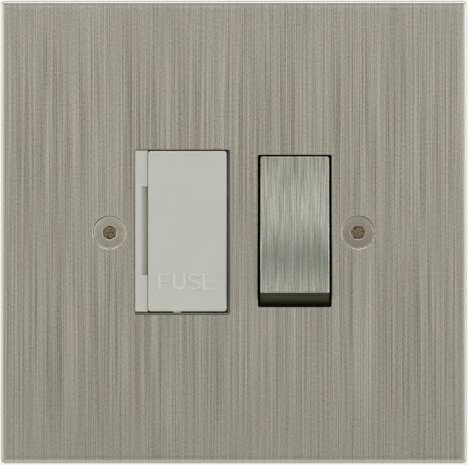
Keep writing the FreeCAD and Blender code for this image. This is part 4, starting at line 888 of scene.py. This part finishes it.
@dataclass
class FuseWord:
    """The raised word on the cover of the drawer: stems are wider than arms.

    The first and the last letter are made of bars: middle of the stem, end of the long arms, end of the short
    arm. The second is a U: its two stems and their width. The third is an S: middle, half width and width,
    with an upper and a lower bowl between two angles in degrees.
    """

    first: Point3 = (-18.0, -15.5, -15.7)
    second: Point3 = (-14.42, -11.95, 0.62)
    third: Point3 = (-9.55, 1.3, 0.52)
    last: Point3 = (-7.24, -4.45, -4.8)
    lift: float = 0.05
    foot: float = -14.0
    top: float = -10.0
    stem: float = 0.72
    arm: float = 0.42
    rise: float = 0.14
    root: float = 0.05
    draft: float = 0.1
    curve_steps: int = 9
    s_upper: Point = (28, 270)
    s_lower: Point = (90, -152)
    s_upper_share: float = 0.93
    miter_limit: float = 0.5

    def bowl(self, centre: Point, reach: Point, start: float, end: float) -> list[Point]:
        """Return points on part of an ellipse.

        Args:
            centre: middle of the ellipse.
            reach: half width and half height.
            start: first angle in degrees.
            end: last angle in degrees.

        Returns:
            The points in order.
        """
        angles = [math.radians(start + (end - start) * step / self.curve_steps)
                  for step in range(self.curve_steps + 1)]
        return [(centre[0] + reach[0] * math.cos(angle), centre[1] + reach[1] * math.sin(angle))
                for angle in angles]

    def bars(self) -> list[list[Point]]:
        """Return the outlines of the letters made of straight bars."""
        half, foot, top = self.stem / 2, self.foot, self.top
        low, high = foot + self.arm, top - self.arm
        under = (foot + top) / 2 + self.lift - self.arm / 2
        over = under + self.arm
        outlines = []
        for stem_x, long_x, short_x in (self.first, self.last):
            left, right = stem_x - half, stem_x + half
            start = [(left, foot), (right, foot)]
            if stem_x == self.last[0]:
                start = [(left, foot), (long_x, foot), (long_x, low), (right, low)]
            outlines.append([*start, (right, under), (short_x, under), (short_x, over), (right, over),
                             (right, high), (long_x, high), (long_x, top), (left, top)])
        return outlines

    def curves(self) -> list[tuple[float, list[Point]]]:
        """Return the width and the middle line of the letters made of curves."""
        left, right, u_width = self.second
        middle, reach = (left + right) / 2, (right - left) / 2
        s_middle, s_reach, s_width = self.third
        s_low, s_high = self.foot + s_width / 2, self.top - s_width / 2
        s_half = (s_high - s_low) / 4
        line = self.bowl((s_middle, s_high - s_half), (s_reach * self.s_upper_share, s_half), *self.s_upper)
        line += self.bowl((s_middle, s_low + s_half), (s_reach, s_half), *self.s_lower)[1:]
        hollow = self.bowl((middle, self.foot + u_width / 2 + reach), (reach, reach), 180, 360)
        return [(u_width, [(left, self.top), *hollow, (right, self.top)]), (s_width, line)]

    def block(self, shape: Shape, outline: Sequence[Point], face: float) -> None:
        """Raise one letter of straight bars from the cover.

        Args:
            shape: mesh that takes the letter.
            outline: its outline, counter-clockwise.
            face: depth of the cover's face.
        """
        points = [Vector(point) for point in outline]
        foot, top = [], []
        for index, point in enumerate(points):
            before = (point - points[index - 1]).normalized()
            after = (points[(index + 1) % len(points)] - point).normalized()
            inward = Vector((-before.y - after.y, before.x + after.x)) * self.draft
            foot.append(shape.verts.new((point.x, face + self.root, point.y)))
            top.append(shape.verts.new((point.x + inward.x, face - self.rise, point.y + inward.y)))
        bridge(shape, [foot, top])
        for loop in (foot, top):
            for triangle in tessellate_polygon([[vert.co for vert in loop]]):
                shape.faces.new([loop[index] for index in triangle])

    def ribbon(self, shape: Shape, width: float, line: Sequence[Point], face: float) -> None:
        """Raise one stroke from the cover.

        Args:
            shape: mesh that takes the stroke.
            width: its width.
            line: its middle line.
            face: depth of the cover's face.
        """
        points = [Vector(point) for point in line]
        half = width / 2
        rings = []
        for index, point in enumerate(points):
            before = (point - points[index - 1]).normalized() if index else None
            after = (points[index + 1] - point).normalized() if index + 1 < len(points) else None
            way = ((before or after) + (after or before)).normalized()
            side = Vector((-way.y, way.x)) / max(abs(way.dot(before or after)), self.miter_limit)
            ring = []
            for reach, depth in ((half, face + self.root), (half - self.draft, face - self.rise),
                                 (self.draft - half, face - self.rise), (-half, face + self.root)):
                place = point + side * reach
                ring.append(shape.verts.new((place.x, depth, place.y)))
            rings.append(ring)
        bridge(shape, rings, closed=True)

    def build(self, face: float) -> None:
        """Build the word on a face at this depth."""
        shape = bmesh.new()
        for outline in self.bars():
            self.block(shape, outline, face)
        for width, line in self.curves():
            self.ribbon(shape, width, line, face)
        # The word takes the lighter letter colour, a painted highlight.
        finished("raised_word", shape, LETTER_WHITE_PAINTED_HIGHLIGHT, "fuse_drawer", smooth_below=0)


@dataclass
class FuseDrawer:
    """The white drawer with its raised word, and the fuse that it carries."""

    barrel_radius: float = 2.9
    bore_radius: float = 1.9
    cap_radius: float = 3.175
    cap_length: float = 6.2
    half_length: float = 12.7
    rolled: float = 0.35
    wall: float = 0.4
    vent: float = 0.4
    mouth: Point = (0.12, 0.1)
    crimp: Point3 = (1.2, 1.35, 1.5)
    crimp_depth: float = 0.07
    steps: int = 48
    word: FuseWord = field(default_factory=FuseWord)

    def cap_profile(self) -> list[Point]:
        """Return pairs of depth and radius of a cap, with its mouth, crimp and rolled end."""
        barrel, cap, soft, top = self.barrel_radius, self.cap_radius, self.rolled, self.half_length
        inner = top - self.cap_length
        start, middle, end = (inner + place for place in self.crimp)
        return [(top - self.wall, self.vent), (top - self.wall, barrel), (inner, barrel),
                (inner, cap - self.mouth[1]), (inner + self.mouth[0], cap), (start, cap),
                (middle, cap - self.crimp_depth), (end, cap), (top - soft, cap),
                (top - soft * MID_ARC, cap - soft * MID_ARC), (top, cap - soft), (top, self.vent)]

    def build(self) -> None:
        """Dress the drawer, and build the word and the fuse."""
        low, high = (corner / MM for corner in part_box("fuse_barrel"))
        middle = Vector(((low.x + high.x) / 2, (low.y + high.y) / 2, 0))
        dress(DRAWER_WHITE, "fuse_drawer")
        dress(COPPER, "fuse_element")
        self.word.build(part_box("fuse_drawer")[0].y / MM)
        end = self.half_length - self.wall
        tube = turned([(-end, self.bore_radius), (-end, self.barrel_radius), (end, self.barrel_radius),
                       (end, self.bore_radius), (-end, self.bore_radius)], self.steps)
        caps = [face for face in tube.faces if len(face.verts) == self.steps]
        bmesh.ops.delete(tube, geom=caps, context="FACES_ONLY")
        barrel = finished("ceramic_barrel", carried(tube, 90, middle), CERAMIC, "fuse_drawer")
        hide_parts("fuse_barrel")
        for side, which in ((1, "upper"), (-1, "lower")):
            shape = turned([(depth * side, radius) for depth, radius in self.cap_profile()], self.steps)
            cap = finished("cap_" + which, carried(shape, 90, middle), CAP_NICKEL, "fuse_drawer")
            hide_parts("fuse_cap_" + which)


@dataclass
class PlungerSpring:
    """A coil spring in a post of the rocker, wound at one length; the real spring shortens as its plunger
    slides in.
    """

    pole: str
    pivot: Point
    tilt: float
    seat: float = -3.99
    length: float = 6.98
    travel: float = 0.8
    radius: float = 1.0
    wire: float = 0.17
    turns: int = 8
    turn_steps: int = 20
    sides: int = 8

    def climb(self, turn: float) -> float:
        """Return how far the wire has climbed after so many turns: the first and the last turn lie close."""
        close, open_turns = 2 * self.wire, self.turns - 2
        open_climb = self.length - 2 * self.wire - 2 * close
        return (close * min(turn, 1) + open_climb * min(max(turn - 1, 0), open_turns) / open_turns
                + close * max(turn - open_turns - 1, 0))

    def build(self) -> None:
        """Wind the spring over its node."""
        node = "spring_" + self.pole
        low, high = (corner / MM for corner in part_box(node))
        lean = Matrix.Rotation(math.radians(self.tilt), 3, "X")
        place = Vector(((low.x + high.x) / 2, *self.pivot))
        shape = bmesh.new()
        rings = []
        for step in range(self.turns * self.turn_steps + 1):
            turn = step / self.turn_steps
            out = Vector((math.cos(2 * math.pi * turn), 0, math.sin(2 * math.pi * turn)))
            middle = out * self.radius + Vector((0, self.seat + self.wire + self.climb(turn), 0))
            ring = []
            for side in range(self.sides):
                angle = 2 * math.pi * side / self.sides
                point = middle + (out * math.cos(angle) + Vector((0, math.sin(angle), 0))) * self.wire
                ring.append(shape.verts.new(lean @ point + place))
            rings.append(ring)
        bridge(shape, rings, closed=True)
        spring = finished(node + "_wound", shape, SPRING_WIRE, "rocker", smooth_below=50)
        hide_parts(node)
        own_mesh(spring)


@dataclass
class Rocker:
    """The hollowed steel cap of the rocker on its dark body, and the springs in its posts."""

    half_width: float = 8.3
    half_length: float = 16.57
    reach: float = 12.7
    thickness: float = 1.0
    hollow_radius: float = 140.0
    corner: float = 0.55
    foot_corner: float = 0.2
    edge: float = 0.28
    tilt: float = -7.0
    pivot: Point = (7.0, 0.32)
    rows: int = 60

    def cap(self) -> Shape:
        """Return the cap: a plate cut in rows, bent along the hollow and hung on the pivot."""
        front, edge = -self.reach, self.edge
        inner, outer = (edge * share for share in ARC)
        outline = Outline(-self.half_width, self.half_width, -self.half_length, self.half_length, self.corner,
                          foot_corner=self.foot_corner)
        shape = panel([Course(outline, ((edge, front), (outer, front + inner), (inner, front + outer),
                                        (0, front + edge), (0, front + self.thickness)))])
        for row in range(1, self.rows):
            cut(shape, (0, 0, self.half_length * (2 * row / self.rows - 1)), (0, 0, 1))
        sag = self.half_length ** 2 / (2 * self.hollow_radius)
        for vert in shape.verts:
            vert.co.y += sag - vert.co.z ** 2 / (2 * self.hollow_radius)
        low, high = (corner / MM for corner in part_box("rocker_body"))
        return carried(shape, self.tilt, Vector(((low.x + high.x) / 2, *self.pivot)))

    def build(self) -> None:
        """Build the cap and springs over their nodes and dress the body and plungers."""
        cap = finished("rocker_cap_brushed", self.cap(), ROCKER_STEEL, "rocker",
                       smooth_below=12)
        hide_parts("rocker_cap")
        dress(DARK, "rocker_body")
        dress(PLUNGER, "plunger_live", "plunger_neutral")
        for pole in ("live", "neutral"):
            PlungerSpring(pole, self.pivot, self.tilt).build()


@dataclass
class Case:
    """Frames, rear housing, terminals and current-carrying parts, with their screws."""

    case_screw_columns: Point = (-21.6, 0.4)
    case_screw_rows: Point = (26.0, -26.0)
    clamp_places: Sequence[Point3] = ((10.25, 0.0, 24.9), (19.25, 0.0, 24.9), (-12.45, 0.0, 24.9),
                                      (-11.23, 0.0, -24.9), (19.25, 0.0, -24.9))

    def build(self) -> None:
        """Dress the mouldings and brass, and build the screws."""
        dress(WHITE, "fuse_frame")
        dress(DARK, "switch_frame")
        dress(HOUSING, "rear_housing")
        dress(ZINC, "plate_studs", "stud_nuts")
        dress(TERMINAL_BRASS, "terminal_earth")
        dress(CONTACT_BRASS, "earth_strap", "fuse_clip_upper", "fuse_clip_lower")
        dress(SILVER, "fixed_tips")
        for pole in ("live", "neutral"):
            dress(TERMINAL_BRASS, "terminal_supply_" + pole, "terminal_load_" + pole)
            dress(CONTACT_BRASS, pole + "_link", "fulcrum_" + pole, "fixed_contact_" + pole,
                  "moving_contact_" + pole)
            dress(SILVER, "moving_tip_" + pole)
        corners = [(x, 0.0, z) for x in self.case_screw_columns for z in self.case_screw_rows]
        SlottedScrews(name="case_screws", node="housing_screws", places=corners, radius=1.45, head_radius=2.7,
                      shank=(4.3, 23.0), head_rear=25.0).build()
        SlottedScrews(name="clamp_screws", node="terminal_screws", places=self.clamp_places, radius=2.0,
                      head_radius=2.8, shank=(18.8, 22.0), head_rear=24.4).build()


@dataclass
class Studio:
    """Plain pale floor, soft lamps and the camera of the photograph."""

    image_width: float = 468.0
    pixels_per_mm: float = 4.131
    aim: Point = (0.05, -0.08)
    distance: float = 1500.0
    floor: float = -300.0
    floor_reach: float = 0.55
    side_gain: float = 0.9
    side_range: Point = (0.03, 0.7)
    backdrop: float = 0.9
    room: Sequence[Point] = ((-90, 0.59), (-20, 0.46), (-11, 0.37), (-6, 0.31), (-2, 0.38), (3, 0.57),
                             (9, 0.63), (14, 0.78), (16.5, 0.48), (19, 0.19), (21, 0.17), (23, 0.33),
                             (26, 0.72), (32, 0.5), (50, 0.46), (60, 0.8), (90, 1.0))
    blue: float = 0.985
    band: Point = (16.0, 24.0)
    band_red: float = 0.95
    lamps: Sequence[tuple[str, Point3, Point, float]] = (
        ("lamp_top", (0, -200, 740), (900, 350), 1.0), ("lamp_left", (-800, -80, 60), (700, 800), 0.7),
        ("lamp_right", (800, -80, 60), (700, 800), 0.9))
    sensor: float = 36.0
    view_depth: float = 20.0

    def lamp(self, name: str, place: Sequence[float], size: Point, radiance: float) -> None:
        """Hang a soft box that looks at the unit.

        Args:
            name: name of the lamp.
            place: where it hangs, in mm.
            size: width and height in mm.
            radiance: brightness of its face, where 1 is white.
        """
        data = bpy.data.lights.new(name, "AREA")
        data.shape = "RECTANGLE"
        data.size, data.size_y = (side * MM for side in size)
        data.energy = radiance * math.pi * data.size * data.size_y
        made = placed(name, data)
        made.location = Vector(place) * MM
        made.rotation_euler = Vector(place).to_track_quat("Z", "Y").to_euler()
        made.visible_camera = False

    def world(self) -> None:
        """Light the room by height, with a darker band above the camera, on a white backdrop."""
        world = bpy.data.worlds.new("pale_room")
        bpy.context.scene.world = world
        world.use_nodes = True
        sheet = NodeSheet(world.node_tree)
        way = sheet.add("ShaderNodeTexCoord").outputs["Generated"]
        across, _, height = sheet.add("ShaderNodeSeparateXYZ", {0: way}).outputs
        ramp = sheet.add("ShaderNodeValToRGB", {0: sheet.spread(height, -1.0, 1.0)})
        ramp.color_ramp.elements.remove(ramp.color_ramp.elements[1])
        for index, (elevation, value) in enumerate(self.room):
            spot = (math.sin(math.radians(elevation)) + 1) / 2
            stop = ramp.color_ramp.elements[0] if index == 0 else ramp.color_ramp.elements.new(spot)
            stop.position = spot
            red = self.band_red if self.band[0] < elevation < self.band[1] else 1.0
            stop.color = (value * red, value, value * self.blue, 1)
        sides = sheet.spread(sheet.maths("ABSOLUTE", across), *self.side_range, 1.0, 1.0 + self.side_gain)
        lit = sheet.out("ShaderNodeVectorMath", {0: ramp.outputs[0], "Scale": sides}, operation="SCALE")
        seen = sheet.add("ShaderNodeLightPath").outputs["Is Camera Ray"]
        shade = sheet.blend(seen, lit, (self.backdrop,) * 3)
        back = sheet.out("ShaderNodeBackground", {"Color": shade, "Strength": 1.0})
        sheet.add("ShaderNodeOutputWorld", {0: back})

    def build(self) -> None:
        """Set the floor, lamps, world and camera."""
        scene = bpy.context.scene
        shape = bmesh.new()
        bmesh.ops.create_grid(shape, x_segments=8, y_segments=8, size=self.floor_reach)
        mesh = bpy.data.meshes.new("floor")
        shape.to_mesh(mesh)
        shape.free()
        mesh.transform(Matrix.Translation((0, 0, self.floor * MM)))
        mesh.materials.append(FLOOR.material())
        ground = placed("floor", mesh)
        for lamp in self.lamps:
            self.lamp(*lamp)
        self.world()
        data = bpy.data.cameras.new("camera")
        data.sensor_width = self.sensor
        data.lens = self.sensor * self.distance / (self.image_width / self.pixels_per_mm)
        data.clip_end = self.view_depth
        camera = placed("camera", data)
        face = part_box("front_plate")[0].y
        camera.location = (self.aim[0] * MM, face - self.distance * MM, self.aim[1] * MM)
        camera.rotation_euler = (math.pi / 2, 0, 0)
        scene.camera = camera
        scene.view_settings.view_transform = "Standard"


def main() -> None:
    """Build every piece in order."""
    logging.basicConfig(level=logging.INFO, format="%(name)s: %(message)s")
    for piece in (FrontPlate(), FixingScrews(), FuseDrawer(), Rocker(), Case(), Studio()):
        piece.build()
        LOG.info("%s built", type(piece).__name__)


if __name__ == "__main__":
    main()
